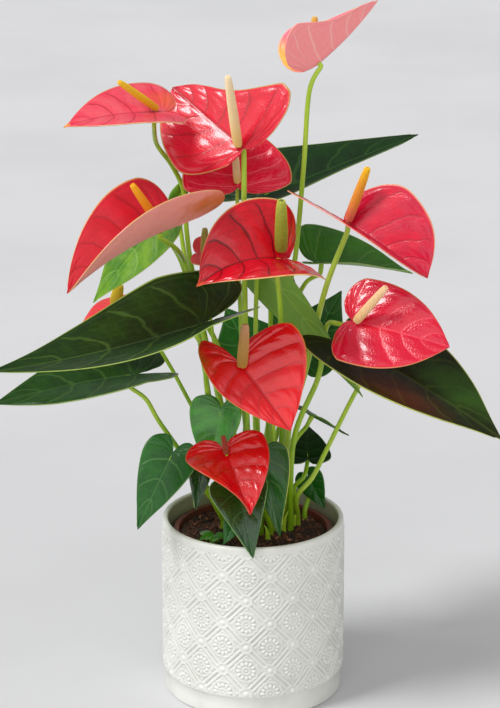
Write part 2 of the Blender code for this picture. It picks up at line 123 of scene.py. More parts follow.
class Graph:
    """A node tree that is built by calls, one for each node."""

    def __init__(self, tree: bpy.types.NodeTree) -> None:
        """Take hold of a node tree."""
        self.tree = tree

    def node(self, kind: str, settings: Optional[dict[str, Any]] = None,
             inputs: Optional[dict[Union[str, int], Any]] = None) -> bpy.types.Node:
        """Add a node.

        Args:
            kind: The node's type name.
            settings: The node's own settings, set before its sockets. The key stops holds a
                curve's points as pairs of place and height.
            inputs: Values or links for its sockets, by name or number.

        Returns:
            The new node.
        """
        made = self.tree.nodes.new(kind)
        for name, value in (settings or {}).items():
            if name == "stops":
                self._set_stops(made.mapping, value)
            else:
                setattr(made, name, value)
        for key, value in (inputs or {}).items():
            self.plug(made.inputs[key], value)
        return made

    @staticmethod
    def _set_stops(mapping: bpy.types.CurveMapping, stops: list[Pair]) -> None:
        """Give a curve its points."""
        points = mapping.curves[0].points
        while len(points) < len(stops):
            points.new(0.5, 0.5)
        for point, spot in zip(points, stops):
            point.location = spot
        mapping.update()

    def plug(self, socket: bpy.types.NodeSocket, value: Any) -> None:
        """Set a socket from a value, or link it from a socket or a signal."""
        if isinstance(value, Signal):
            self.tree.links.new(value.socket, socket)
        elif isinstance(value, bpy.types.NodeSocket):
            self.tree.links.new(value, socket)
        elif isinstance(value, tuple) and len(value) == 3 and socket.type == "RGBA":
            socket.default_value = (*value, 1)
        else:
            socket.default_value = value


class Signal:
    """A number in a node tree. Python's operators on it add Math nodes."""

    def __init__(self, graph: Graph, socket: bpy.types.NodeSocket) -> None:
        """Wrap an output socket."""
        self.graph = graph
        self.socket = socket

    def math(self, operation: str, *others: Any, first: Any = None) -> "Signal":
        """Add a Math node.

        Args:
            operation: The node's operation.
            others: What follows this signal in its sockets.
            first: What comes before this signal, for a reflected operator.

        Returns:
            The result.
        """
        terms = (self, *others) if first is None else (first, self)
        made = self.graph.node("ShaderNodeMath", {"operation": operation}, dict(enumerate(terms)))
        return Signal(self.graph, made.outputs[0])

    def __add__(self, other: Any) -> "Signal":
        """Add."""
        return self.math("ADD", other)

    __radd__ = __add__

    def __sub__(self, other: Any) -> "Signal":
        """Subtract."""
        return self.math("SUBTRACT", other)

    def __rsub__(self, other: Any) -> "Signal":
        """Subtract this from a number."""
        return self.math("SUBTRACT", first=other)

    def __mul__(self, other: Any) -> "Signal":
        """Multiply."""
        return self.math("MULTIPLY", other)

    __rmul__ = __mul__

    def __truediv__(self, other: Any) -> "Signal":
        """Divide."""
        return self.math("DIVIDE", other)

    def __pow__(self, other: Any) -> "Signal":
        """Raise to a power."""
        return self.math("POWER", other)

    def __abs__(self) -> "Signal":
        """Take the size without its sign."""
        return self.math("ABSOLUTE")

    def fraction(self) -> "Signal":
        """Keep what follows the decimal point."""
        return self.math("FRACT")

    def larger(self, other: Any) -> "Signal":
        """Keep the larger of two."""
        return self.math("MAXIMUM", other)

    def smaller(self, other: Any) -> "Signal":
        """Keep the smaller of two."""
        return self.math("MINIMUM", other)

    def step(self, low: float, high: float, start: float = 0.0, stop: float = 1.0) -> "Signal":
        """Rise smoothly from start to stop as this goes from low to high."""
        made = self.graph.node(
            "ShaderNodeMapRange", {"interpolation_type": "SMOOTHSTEP"},
            {0: self, 1: low, 2: high, 3: start, 4: stop},
        )
        return Signal(self.graph, made.outputs[0])


class Paint(Graph):
    """A material that is being made: a Principled shader and what feeds it."""

    def __init__(self, name: str, roughness: float, coat: float = 0.0) -> None:
        """Start a material.

        Args:
            name: The material's name.
            roughness: Roughness where nothing varies it.
            coat: Weight of the clear coat.
        """
        self.material = bpy.data.materials.new(name)
        self.material.use_nodes = True
        super().__init__(self.material.node_tree)
        self.shader = self.tree.nodes["Principled BSDF"]
        self.shader.inputs["Roughness"].default_value = roughness
        self.shader.inputs["Coat Weight"].default_value = coat
        self.shader.inputs["Coat Roughness"].default_value = 0.12
        self.place = self.node("ShaderNodeTexCoord").outputs["Object"]

    def noise(self, scale: float, detail: float = 3, roughness: float = 0.55,
              stretch: Optional[Point] = None) -> Signal:
        """Return cloudy noise, 0 to 1, on the piece's own coordinates."""
        vector: Any = self.place
        if stretch:
            vector = self.node("ShaderNodeMapping", None, {"Vector": self.place, "Scale": stretch})
            vector = vector.outputs[0]
        made = self.node(
            "ShaderNodeTexNoise", None,
            {"Vector": vector, "Scale": scale, "Detail": detail, "Roughness": roughness},
        )
        return Signal(self, made.outputs[0])

    def cells(self, scale: float, edges: bool = True) -> Signal:
        """Return distance in a cell pattern: to the cells' edges, or to their middles."""
        made = self.node(
            "ShaderNodeTexVoronoi", {"feature": "DISTANCE_TO_EDGE" if edges else "F1"},
            {"Vector": self.place, "Scale": scale},
        )
        return Signal(self, made.outputs["Distance"])

    def attribute(self, name: str) -> tuple[Signal, Signal, Signal]:
        """Return the three numbers of a mesh attribute."""
        read = self.node("ShaderNodeAttribute", {"attribute_name": name})
        split = self.node("ShaderNodeSeparateXYZ", None, {0: read.outputs["Vector"]})
        return tuple(Signal(self, out) for out in split.outputs)

    def mix(self, first: Any, second: Any, share: Any) -> bpy.types.NodeSocket:
        """Mix two colours.

        Args:
            first: The colour at share 0.
            second: The colour at share 1.
            share: A signal or a number, 0 to 1.

        Returns:
            The mixed colour's socket.
        """
        made = self.node("ShaderNodeMix", {"data_type": "RGBA"}, {0: share, 6: first, 7: second})
        return made.outputs[2]

    def finish(self, colour: Any, roughness: Any = None, relief: Any = None,
               depth: float = 0.3, reach: float = 1 * MM) -> bpy.types.Material:
        """Feed the shader.

        Args:
            colour: The base colour, a socket or a colour.
            roughness: What varies the roughness, or None.
            relief: Height for a bump, or None.
            depth: The bump's strength.
            reach: The bump's height in metres.

        Returns:
            The finished material.
        """
        self.plug(self.shader.inputs["Base Color"], colour)
        if roughness is not None:
            self.plug(self.shader.inputs["Roughness"], roughness)
        if relief is not None:
            bump = self.node(
                "ShaderNodeBump", None, {"Height": relief, "Strength": depth, "Distance": reach},
            )
            self.plug(self.shader.inputs["Normal"], bump.outputs[0])
        return self.material


# --- Finishes -------------------------------------------------------------------------------


@dataclass(frozen=True)
class Tint:
    """A patch of another colour on a blade: where it lies, along and across, and its reach."""

    spot: Pair
    reach: float
    colour: Colour
    strength: float = 0.85


@dataclass(frozen=True)
class BladeFinish:
    """The skin of a leaf or spathe: its upper side, its underside and its edge."""

    upper: Colour
    # deep: a darker tone for the mottling, also used as painted shade in the vein grooves.
    deep_tone_and_groove_shade: Colour
    vein: Colour
    under: Colour
    under_vein: Colour
    edge: Colour
    veins: int = 9
    sweep: float = 0.12
    vein_strength: float = 0.6
    gloss: float = 0.3
    coat: float = 0.15
    shine: float = 0.35
    tints: tuple[Tint, ...] = ()

    def vein_mask(self, paint: Paint) -> tuple[Signal, Signal]:
        """Return the share of vein, 0 to 1, and the height of the quilting between veins."""
        s, share, _ = paint.attribute("sheet")
        u, w, _ = paint.attribute("plan")
        wander = (paint.noise(60, 2) - 0.5) * 0.42
        phase = (s - self.sweep * share ** 1.4) * self.veins + wander
        apart = abs(phase.fraction() - 0.5) * 2
        lateral = apart.step(0.02, 0.16, 1, 0) * share.step(0.86, 0.95, 1, 0)
        fine = abs((phase * 3 + share * 1.7 + wander * 3).fraction() - 0.5) * 2
        cross = abs((share * 6.3 - phase * 1.1 + wander * 3).fraction() - 0.5) * 2
        fine = fine.smaller(cross).step(0.03, 0.3, 1, 0) * share.step(0.06, 0.2)
        fine = fine * share.step(0.84, 0.93, 1, 0)
        middle = abs(w).step(0.008, 0.035, 1, 0) * u.step(-0.01, 0.02)
        collective = abs(share - 0.92).step(0.0, 0.025, 1, 0)
        mask = lateral.larger(middle).larger(collective * 0.4).larger(fine * 0.2)
        return mask, apart

    def tinted(self, paint: Paint, colour: Any) -> Any:
        """Lay the patches of other colours over a colour."""
        u, w, _ = paint.attribute("plan")
        cloud = (paint.noise(90) - 0.5) * 0.35
        for tint in self.tints:
            along = u - tint.spot[0]
            across = w - tint.spot[1]
            away = (along * along + across * across) ** 0.5 + cloud
            cover = away.step(0.15 * tint.reach, tint.reach, tint.strength, 0)
            colour = paint.mix(colour, tint.colour, cover)
        return colour

    def upper_material(self, name: str) -> bpy.types.Material:
        """Make the upper side: glossy, mottled, with veins, fine netting and painted shade in the vein
        grooves.
        """
        paint = Paint(name, self.gloss, self.coat)
        paint.shader.inputs["Specular IOR Level"].default_value = self.shine
        mask, apart = self.vein_mask(paint)
        _, share, _ = paint.attribute("sheet")
        mottle = paint.noise(55, 4)
        net = paint.cells(420)
        colour = paint.mix(self.upper, self.deep_tone_and_groove_shade, mottle.step(0.35, 0.7, 0, 0.75))
        # Darker beside the veins, in the sunken grooves: painted shade.
        colour = paint.mix(colour, self.deep_tone_and_groove_shade, apart.step(0.25, 0.9, 0.3, 0))
        colour = paint.mix(colour, self.vein, mask * self.vein_strength)
        colour = self.tinted(paint, colour)
        colour = paint.mix(colour, self.edge, share.step(0.965, 0.995, 0, 0.85))
        rough = mottle * 0.16 + (self.gloss - 0.06) + mask * 0.08
        relief = net.step(0, 0.3) * 0.35 - mask * 0.6 + paint.noise(500, 2) * 0.15
        return paint.finish(colour, rough, relief, 0.35, 0.5 * MM)

    def under_material(self, name: str) -> bpy.types.Material:
        """Make the underside: paler and duller, with raised veins."""
        paint = Paint(name, 0.5, 0)
        paint.shader.inputs["Specular IOR Level"].default_value = self.shine
        mask, _ = self.vein_mask(paint)
        mottle = paint.noise(70, 4)
        colour = paint.mix(self.under, self.under_vein, mask * 0.75)
        colour = paint.mix(colour, self.upper, mottle.step(0.45, 0.8, 0, 0.15))
        colour = self.tinted(paint, colour)
        relief = mask * 0.8 + paint.cells(380).step(0, 0.3) * 0.2
        return paint.finish(colour, mottle * 0.15 + 0.4, relief, 0.4, 0.5 * MM)

    def edge_material(self, name: str) -> bpy.types.Material:
        """Make the thin pale edge."""
        paint = Paint(name, 0.45)
        return paint.finish(paint.mix(self.edge, self.under, paint.noise(150).step(0.45, 0.7)))


@dataclass(frozen=True)
class LeafFinish(BladeFinish):
    """The skin of a leaf, with fewer veins than a spathe's."""

    veins: int = 8
    shine: float = 0.5


@dataclass(frozen=True)
class SpadixFinish:
    """A spadix: its florets' colour at the base, in the middle and at the tip, and a darker colour for
    speckles and for painted shade between the florets.
    """

    base: Colour
    middle: Colour
    tip: Colour
    pit_shade_and_speckle: Colour

    def material(self, name: str) -> bpy.types.Material:
        """Make the florets' finish, coloured along the spadix."""
        paint = Paint(name, 0.5, 0.05)
        share, out, _ = paint.attribute("florets")
        colour = paint.mix(self.base, self.middle, share.step(0.05, 0.45))
        colour = paint.mix(colour, self.tip, share.step(0.5, 0.95))
        # Low between the florets the colour turns to the darker one: painted shade.
        colour = paint.mix(self.pit_shade_and_speckle, colour, out.step(0.0, 0.8))
        # Random speckles of the same darker colour.
        colour = paint.mix(colour, self.pit_shade_and_speckle, paint.noise(700, 2).step(0.5, 0.75, 0, 0.35))
        return paint.finish(colour, paint.noise(400) * 0.2 + 0.4, paint.noise(1500, 2), 0.2, 0.2 * MM)


@dataclass(frozen=True)
class StalkFinish:
    """A stalk: fresh green, lighter or darker in places, with fine lengthwise streaks and painted shade
    towards its foot.
    """

    green: Colour
    pale: Colour
    # shade colours the streaks and the painted shade at the foot.
    shade: Colour

    def material(self, name: str) -> bpy.types.Material:
        """Make the stalk's finish, coloured from its foot to its top."""
        paint = Paint(name, 0.42, 0.1)
        share, _, _ = paint.attribute("stalk")
        cloud = paint.noise(45, 3, stretch=(1, 1, 0.25))
        streak = paint.noise(900, 2, stretch=(1, 1, 0.05))
        colour = paint.mix(self.green, self.pale, cloud.step(0.4, 0.72, 0, 0.8))
        colour = paint.mix(colour, self.shade, streak.step(0.5, 0.8, 0, 0.35))
        # Darker towards the foot, near the soil: painted shade.
        colour = paint.mix(colour, self.shade, share.step(0, 0.3, 0.55, 0))
        colour = paint.mix(colour, self.pale, share.step(0.9, 1, 0, 0.6))
        return paint.finish(colour, cloud * 0.2 + 0.32, streak, 0.25, 0.3 * MM)


@dataclass(frozen=True)
class GlazeFinish:
    """The cover pot's satin glaze: darker and greyer in the relief's recesses, partly glaze pooling and
    partly painted shade, lighter on the raised moulding as a painted highlight, and with painted shade inside
    the pot.
    """

    # high: painted highlight on the raised moulding. low: grey of cloudy patches and specks, and of glaze
    # pooling with painted shade in the recesses.
    high: Colour = tone(240, 240, 235)
    low: Colour = tone(178, 181, 168)
    body: Colour = tone(229, 230, 223)
    inside_shade: Colour = tone(176, 174, 152)

    def material(self, name: str) -> bpy.types.Material:
        """Make the glaze."""
        paint = Paint(name, 0.34, 0.25)
        height, inner, _ = paint.attribute("relief")
        cloud = paint.noise(28, 4)
        speck = paint.cells(260, edges=False)
        colour = paint.mix(self.body, self.low, cloud.step(0.35, 0.75, 0, 0.35))
        # Darker in the recesses: glaze pooling and painted shade.
        colour = paint.mix(colour, self.low, height.step(-0.1, 0.22, 0.8, 0))
        # Lighter on the raised moulding: painted highlight.
        colour = paint.mix(colour, self.high, height.step(0.25, 0.85, 0, 0.8))
        # Darker inside the pot: painted shade.
        colour = paint.mix(colour, self.inside_shade, inner)
        colour = paint.mix(colour, self.low, speck.step(0.03, 0.1, 0.35, 0))
        rough = cloud * 0.14 + 0.27
        relief = paint.noise(160, 3) * 0.6 + paint.noise(900, 2) * 0.1
        return paint.finish(colour, rough, relief, 0.12, 0.5 * MM)


@dataclass(frozen=True)
class PlasticFinish:
    """The nursery pot's thin terracotta-coloured plastic."""

    colour: Colour = tone(122, 54, 42)
    dust: Colour = tone(96, 60, 46)

    def material(self, name: str) -> bpy.types.Material:
        """Make the plastic, a little dusty."""
        paint = Paint(name, 0.48)
        dusty = paint.noise(90, 4)
        colour = paint.mix(self.colour, self.dust, dusty.step(0.4, 0.65))
        return paint.finish(colour, dusty * 0.3 + 0.35, paint.noise(700, 2), 0.15, 0.3 * MM)


@dataclass(frozen=True)
class GroundFinish:
    """Potting mix, bark or moss: two colours mixed by noise, rough all over."""

    dark: Colour
    light: Colour
    grain: float = 260

    def material(self, name: str) -> bpy.types.Material:
        """Make the loose, rough finish."""
        paint = Paint(name, 0.9)
        cloud = paint.noise(self.grain, 5, 0.7)
        fine = paint.noise(self.grain * 6, 3)
        colour = paint.mix(self.dark, self.light, cloud.step(0.38, 0.68))
        return paint.finish(colour, cloud * 0.2 + 0.75, cloud + fine * 0.5, 0.9, 1.2 * MM)


GREEN_STALK = StalkFinish(tone(148, 190, 26), tone(186, 216, 60), tone(100, 142, 18))
PALE_STALK = StalkFinish(tone(168, 202, 44), tone(204, 224, 92), tone(116, 156, 26))

class Skin(Enum):
    """The skins of the spathes and of the leaves."""

    BLUSH = BladeFinish(
        tone(254, 90, 145), tone(255, 77, 129), tone(255, 158, 169), tone(252, 149, 150),
        tone(255, 189, 181), tone(240, 190, 150), vein_strength=0.55, gloss=0.42,
        tints=(Tint((-0.25, 0.5), 0.55, tone(255, 196, 55), 0.9),),
    )
    LIGHT_PINK = BladeFinish(
        tone(236, 92, 104), tone(233, 31, 73), tone(176, 20, 45), tone(240, 105, 113),
        tone(255, 185, 177), tone(216, 184, 120), vein_strength=0.7, gloss=0.36,
        tints=(Tint((-0.25, -0.4), 0.5, tone(238, 114, 42), 0.5), Tint((1.0, 0.0), 0.12, tone(255, 180, 54))),
    )
    CRIMSON_WIDE = BladeFinish(
        tone(225, 20, 53), tone(209, 6, 35), tone(149, 3, 22), tone(240, 97, 107),
        tone(254, 158, 154), tone(190, 170, 84), veins=10, vein_strength=0.6, gloss=0.26, coat=0.4,
    )
    CRIMSON_CUPPED = BladeFinish(
        # Its underside is a paler pink, brightened further as painted light where the underside lies in
        # shade.
        tone(214, 14, 44), tone(198, 6, 31), tone(147, 3, 20), tone(255, 168, 152),
        tone(255, 166, 159), tone(222, 178, 110), vein_strength=0.5, gloss=0.34,
        tints=(Tint((-0.38, 0.5), 0.4, tone(220, 110, 18), 0.85),),
    )
    DEEP_RED = BladeFinish(
        tone(214, 8, 35), tone(191, 3, 24), tone(103, 0, 11), tone(237, 97, 62),
        tone(254, 147, 93), tone(228, 196, 120), vein_strength=0.85, gloss=0.26, coat=0.4,
        tints=(Tint((-0.28, -0.5), 0.4, tone(158, 84, 22), 0.7),
               Tint((0.98, 0.0), 0.14, tone(255, 104, 36), 0.8)),
    )
    ROSE = BladeFinish(
        tone(196, 10, 56), tone(224, 13, 53), tone(164, 8, 36), tone(252, 116, 124),
        tone(255, 178, 171), tone(236, 170, 130), vein_strength=0.6, gloss=0.26, coat=0.4,
    )
    CRIMSON_PINK = BladeFinish(
        tone(206, 6, 52), tone(211, 4, 39), tone(254, 88, 113), tone(242, 97, 99),
        tone(255, 158, 150), tone(230, 150, 92), vein_strength=0.26, gloss=0.22, coat=0.5,
        tints=(Tint((-0.3, -0.45), 0.3, tone(140, 68, 18), 0.75),),
    )
    BRIGHT_RED = BladeFinish(
        tone(231, 12, 26), tone(217, 5, 18), tone(147, 3, 13), tone(244, 94, 62),
        tone(255, 147, 103), tone(226, 150, 60), vein_strength=0.38, gloss=0.2, coat=0.6,
        tints=(Tint((-0.3, -0.55), 0.3, tone(150, 86, 18), 0.8),),
    )
    VIVID_RED = BladeFinish(
        tone(227, 7, 20), tone(211, 3, 14), tone(147, 2, 9), tone(237, 88, 62),
        tone(254, 136, 103), tone(214, 96, 60), vein_strength=0.35, gloss=0.18, coat=0.7,
    )
    CRIMSON_BACK = BladeFinish(
        tone(229, 22, 61), tone(211, 9, 43), tone(255, 110, 128), tone(240, 97, 107),
        tone(254, 158, 154), tone(180, 160, 84), veins=10, vein_strength=0.6, gloss=0.26, coat=0.25,
    )
    FADED = BladeFinish(
        tone(231, 42, 64), tone(228, 91, 59), tone(168, 51, 36), tone(240, 136, 113),
        tone(254, 178, 144), tone(196, 160, 84), veins=8, gloss=0.45,
        tints=(Tint((0.9, 0.2), 0.5, tone(255, 169, 54), 0.7),),
    )
    PEACH = BladeFinish(
        tone(231, 72, 83), tone(224, 60, 65), tone(189, 60, 54), tone(244, 168, 134),
        tone(254, 189, 154), tone(206, 170, 110), veins=8, gloss=0.45,
    )
    DARK_LEAF = LeafFinish(
        tone(27, 57, 9), tone(16, 39, 6), tone(99, 136, 50), tone(108, 142, 50),
        tone(150, 178, 73), tone(150, 172, 72), vein_strength=0.25, gloss=0.3, coat=0.15, shine=0.2,
    )
    GREY_LEAF = LeafFinish(
        tone(29, 70, 13), tone(17, 50, 8), tone(95, 136, 60), tone(120, 146, 73),
        tone(160, 180, 98), tone(150, 172, 88), vein_strength=0.22, gloss=0.34, coat=0.05, shine=0.2,
    )
    BLACK_LEAF = LeafFinish(
        tone(30, 35, 5), tone(16, 20, 3), tone(106, 128, 38), tone(104, 136, 49),
        tone(150, 172, 70), tone(188, 196, 96), vein_strength=0.15, gloss=0.32, coat=0.1, shine=0.15,
        tints=(Tint((0.35, -0.45), 0.5, tone(86, 30, 14), 0.55),
               Tint((0.6, 0.35), 0.5, tone(52, 88, 27), 0.6)),
    )
    DEEP_LEAF = LeafFinish(
        tone(13, 50, 8), tone(7, 33, 5), tone(66, 112, 40), tone(74, 118, 43),
        tone(120, 158, 67), tone(120, 150, 67), vein_strength=0.19, gloss=0.3, coat=0.1, shine=0.2,
    )
    MID_LEAF = LeafFinish(
        tone(60, 121, 21), tone(45, 99, 16), tone(129, 170, 74), tone(112, 156, 59),
        tone(160, 190, 91), tone(158, 186, 96), vein_strength=0.25, gloss=0.34, shine=0.3,
    )
    UNDER_LEAF = LeafFinish(
        tone(45, 96, 15), tone(36, 83, 13), tone(104, 150, 60), tone(104, 150, 43),
        tone(126, 168, 56), tone(140, 176, 77), vein_strength=0.22, gloss=0.4,
    )
    BLUE_LEAF = LeafFinish(
        tone(26, 96, 20), tone(16, 72, 15), tone(106, 168, 84), tone(96, 142, 70),
        tone(140, 180, 98), tone(120, 160, 88), veins=7, vein_strength=0.28, gloss=0.34, shine=0.3,
    )
    BRIGHT_LEAF = LeafFinish(
        tone(64, 160, 16), tone(24, 98, 9), tone(106, 168, 63), tone(110, 160, 52),
        tone(150, 190, 77), tone(140, 182, 72), veins=7, vein_strength=0.25, gloss=0.24, coat=0.3,
    )
    GREEN_LEAF = LeafFinish(
        tone(32, 96, 15), tone(22, 74, 12), tone(104, 158, 63), tone(104, 150, 50),
        tone(150, 184, 73), tone(188, 196, 67), veins=7, vein_strength=0.25, gloss=0.26, coat=0.25,
    )
    GLOSSY_LEAF = LeafFinish(
        tone(19, 72, 14), tone(12, 52, 10), tone(80, 140, 60), tone(90, 140, 53),
        tone(140, 180, 77), tone(150, 190, 96), veins=7, vein_strength=0.19, gloss=0.2, coat=0.35,
    )
    LIME_LEAF = LeafFinish(
        tone(112, 160, 14), tone(42, 112, 10), tone(142, 196, 63), tone(130, 178, 53),
        tone(170, 204, 78), tone(176, 204, 80), veins=7, vein_strength=0.28, gloss=0.34, shine=0.3,
    )


class Spike(Enum):
    """The finishes of the spadices."""

    PINK_YELLOW = SpadixFinish(
        tone(232, 200, 140), tone(236, 190, 90), tone(240, 200, 90), tone(210, 150, 70),
    )
    YELLOW = SpadixFinish(tone(224, 168, 20), tone(240, 196, 24), tone(246, 206, 40), tone(236, 176, 8))
    CREAM = SpadixFinish(tone(240, 206, 120), tone(252, 232, 186), tone(255, 240, 204), tone(238, 204, 140))
    ORANGE = SpadixFinish(tone(236, 140, 14), tone(248, 176, 14), tone(252, 196, 20), tone(232, 146, 8))
    GREEN = SpadixFinish(tone(168, 156, 36), tone(186, 188, 52), tone(198, 206, 74), tone(96, 104, 16))
    TWO_TONE = SpadixFinish(tone(232, 116, 108), tone(244, 176, 60), tone(252, 208, 14), tone(230, 140, 40))
    PEACH_CREAM = SpadixFinish(
        tone(240, 204, 140), tone(250, 220, 168), tone(250, 216, 170), tone(236, 194, 140),
    )
    OCHRE = SpadixFinish(tone(200, 150, 60), tone(216, 170, 92), tone(230, 172, 132), tone(172, 118, 50))
    BROWN = SpadixFinish(tone(178, 70, 36), tone(190, 76, 44), tone(170, 64, 40), tone(122, 36, 20))
    OLD_YELLOW = SpadixFinish(tone(214, 182, 14), tone(234, 204, 24), tone(236, 208, 36), tone(150, 124, 10))
    OLIVE = SpadixFinish(tone(190, 176, 84), tone(186, 172, 76), tone(172, 156, 70), tone(130, 116, 44))


# --- The plant's layout ----------------------------------------------------------------------


@dataclass
class Leaf:
    """A heart-shaped blade and its stalk, in millimetres from the crown and degrees.

    attach and tip are the ends of the midrib, and face is the way the upper side looks.
    Pairs give the left half and then the right half, seen along the midrib from above:
    fold lifts a half, opening changes the fold towards the tip, curl bends it across,
    lobes stretch the part behind the notch and halves its width, taper and waist narrow
    it before the tip and beside the notch, and belly moves its widest part forward. foot
    is where the stalk leaves the soil, and route holds the points it passes on the way up.
    quilt is how far the blade swells between its veins, ripple how far its margin waves,
    and neck how far its stalk runs square to it.
    """

    attach: Point
    tip: Point
    face: Point
    width: float
    foot: Pair
    route: list[Point]
    fold: Pair = (0, 0)
    opening: Pair = (0, 0)
    curl: Pair = (0, 0)
    droop: float = 0
    lobes: Pair = (1, 1)
    halves: Pair = (1, 1)
    taper: Pair = (0, 0)
    belly: Pair = (0, 0)
    waist: Pair = (0, 0)
    finish: Skin = Skin.MID_LEAF
    stalk: StalkFinish = GREEN_STALK
    quilt: float = 0.6
    ripple: float = 1.0
    neck: float = 1.0


@dataclass
class Flower(Leaf):
    """A coloured spathe with its spadix on a stem of its own."""

    stem_radius: float = 2.2
    spadix_tip: Point = (0, 0, 0)
    spadix_radius: float = 3
    spadix: Spike = Spike.YELLOW


FLOWERS = [
    Flower(
        attach=(47, 20, 374), tip=(95, 40, 421), face=(-7, 1, 7),
        width=82, fold=(62, 60), droop=-15, lobes=(0.7, 0.7), taper=(0.3, 0.3),
        foot=(20, 28),
        route=[
            (24, 12, 107), (26, 8, 186), (33, 8, 227),
            (39, 12, 297), (43, 18, 354),
        ],
        stem_radius=2.2, spadix_tip=(47, 30, 410), spadix_radius=3.2,
        finish=Skin.BLUSH, spadix=Spike.PINK_YELLOW, stalk=GREEN_STALK, neck=0.35,
    ),
    Flower(
        attach=(-70, -22, 348), tip=(-141, -50, 343), face=(0, -1, 10),
        width=70, fold=(5, 22), curl=(0, 10), droop=20, lobes=(0.5, 0.6),
        foot=(0, 26),
        route=[
            (-14, 12, 71), (-26, 14, 144), (-40, 14, 177), (-48, 18, 214),
            (-52, 26, 242), (-54, 32, 271), (-63, 30, 293), (-74, 10, 315),
        ],
        stem_radius=2.2, spadix_tip=(-100, -40, 375), spadix_radius=2.8,
        finish=Skin.LIGHT_PINK, spadix=Spike.YELLOW,
    ),
    Flower(
        attach=(-8, -20, 319), tip=(-62, 35, 354), face=(-4, -7, 6),
        width=124, fold=(0, 8), droop=0, lobes=(0.05, 0.4), halves=(0.76, 0.94),
        taper=(0, 0.4), belly=(0.42, 0), waist=(0.6, 0),
        foot=(6, 12), route=[(-4, -8, 80), (-6, -12, 172), (-7, -16, 246)],
        stem_radius=2.5, spadix_tip=(-19, -35, 378), spadix_radius=3.6,
        finish=Skin.CRIMSON_WIDE, spadix=Spike.CREAM, quilt=1.1, ripple=1.2,
    ),
    Flower(
        attach=(-67, -57, 265), tip=(-138, -97, 228), face=(5, 0, 8),
        width=106, fold=(65, 28), curl=(10, 10), droop=30, lobes=(1.3, 0.5), halves=(1, 0.88),
        foot=(-6, 20),
        route=[
            (-20, 2, 85), (-34, 0, 144), (-47, -2, 202),
            (-53, -8, 226), (-59, -36, 245),
        ],
        stem_radius=2.3, spadix_tip=(-90, -67, 303), spadix_radius=3.2,
        finish=Skin.CRIMSON_CUPPED, spadix=Spike.ORANGE, stalk=GREEN_STALK, neck=0.5,
    ),
    Flower(
        attach=(23, -50, 241), tip=(-42, -85, 230), face=(0, 0, 10),
        width=104, fold=(0, 60), droop=50, lobes=(0.8, 0.4),
        foot=(16, 2), route=[(15, -24, 86), (21, -38, 183)],
        stem_radius=2.3, spadix_tip=(21, -60, 289), spadix_radius=4.8,
        finish=Skin.DEEP_RED, spadix=Spike.GREEN, quilt=1.6, ripple=1.6,
    ),
    Flower(
        attach=(70, -10, 260), tip=(132, -50, 226), face=(4, -7, 6),
        width=112, fold=(42, 50), droop=10, lobes=(0.1, 1.4), halves=(0.88, 1),
        belly=(0.4, 0.3), waist=(0.45, 0),
        foot=(28, 20), route=[(28, 0, 86), (40, -2, 131), (56, 0, 201)],
        stem_radius=2.6, spadix_tip=(87, -20, 304), spadix_radius=3.6,
        finish=Skin.ROSE, spadix=Spike.TWO_TONE, quilt=0.9, ripple=1.0, stalk=PALE_STALK,
    ),
    Flower(
        attach=(76, -50, 192), tip=(148, -75, 179), face=(0, -8, 6),
        width=72, fold=(5, 5), droop=10, lobes=(0.4, 0.35), belly=(0.22, 0.22),
        foot=(30, 6),
        route=[
            (32, -10, 81), (51, -8, 132), (54, -12, 160),
            (58, -18, 179), (67, -34, 184),
        ],
        stem_radius=2.3, spadix_tip=(100, -65, 223), spadix_radius=3.4,
        finish=Skin.CRIMSON_PINK, spadix=Spike.PEACH_CREAM, quilt=1.1, ripple=0.8,
    ),
    Flower(
        attach=(-11, -73, 166), tip=(28, -103, 122), face=(0, -6, 7),
        width=104, fold=(10, 0), droop=10, lobes=(0.45, 1.3), halves=(1, 0.52),
        foot=(6, -6), route=[(-7, -21, 60), (-5, -40, 116)],
        stem_radius=2.4, spadix_tip=(-6, -76, 197), spadix_radius=4.0,
        finish=Skin.BRIGHT_RED, spadix=Spike.OCHRE, quilt=1.2, ripple=1.0,
    ),
    Flower(
        attach=(-22, -60, 91), tip=(-2, -95, 51), face=(0, -7, 7),
        width=66, fold=(10, 10), opening=(0, 75), droop=10, lobes=(0.4, 0.6),
        foot=(-4, -8), route=[(-13, -32, 47)],
        stem_radius=2.0, spadix_tip=(-23, -62, 103), spadix_radius=2.2,
        finish=Skin.VIVID_RED, spadix=Spike.BROWN, quilt=1.4, ripple=1.2,
    ),
    Flower(
        attach=(-12, 15, 280), tip=(-16, 50, 326), face=(0, -7, 6),
        width=86, fold=(5, 5), droop=0, lobes=(0.35, 0.35),
        foot=(8, 32), route=[(-6, 14, 81), (-10, 12, 181), (-12, 12, 230)],
        stem_radius=1.8, spadix_tip=(-14, 5, 312), spadix_radius=2.8,
        finish=Skin.CRIMSON_BACK, spadix=Spike.CREAM, quilt=1.5, ripple=1.0,
    ),
    Flower(
        attach=(-104, 30, 181), tip=(-137, 15, 166), face=(-3, -2, 8),
        width=40, fold=(0, 0), droop=20, lobes=(1.0, 1.0),
        foot=(-14, 28), route=[(-31, 16, 63), (-49, 18, 100), (-78, 24, 151)],
        stem_radius=1.8, spadix_tip=(-105, 25, 198), spadix_radius=4.6,
        finish=Skin.FADED, spadix=Spike.OLD_YELLOW,
    ),
    Flower(
        attach=(-42, -8, 233), tip=(-13, -8, 226), face=(0, -3, 8),
        width=40, fold=(10, 10), droop=20, lobes=(0.5, 0.5),
        foot=(-8, 36), route=[(-25, 16, 80), (-31, 0, 160)],
        stem_radius=1.5, spadix_tip=(-37, -8, 253), spadix_radius=2.8,
        finish=Skin.PEACH, spadix=Spike.OLIVE,
    ),
]

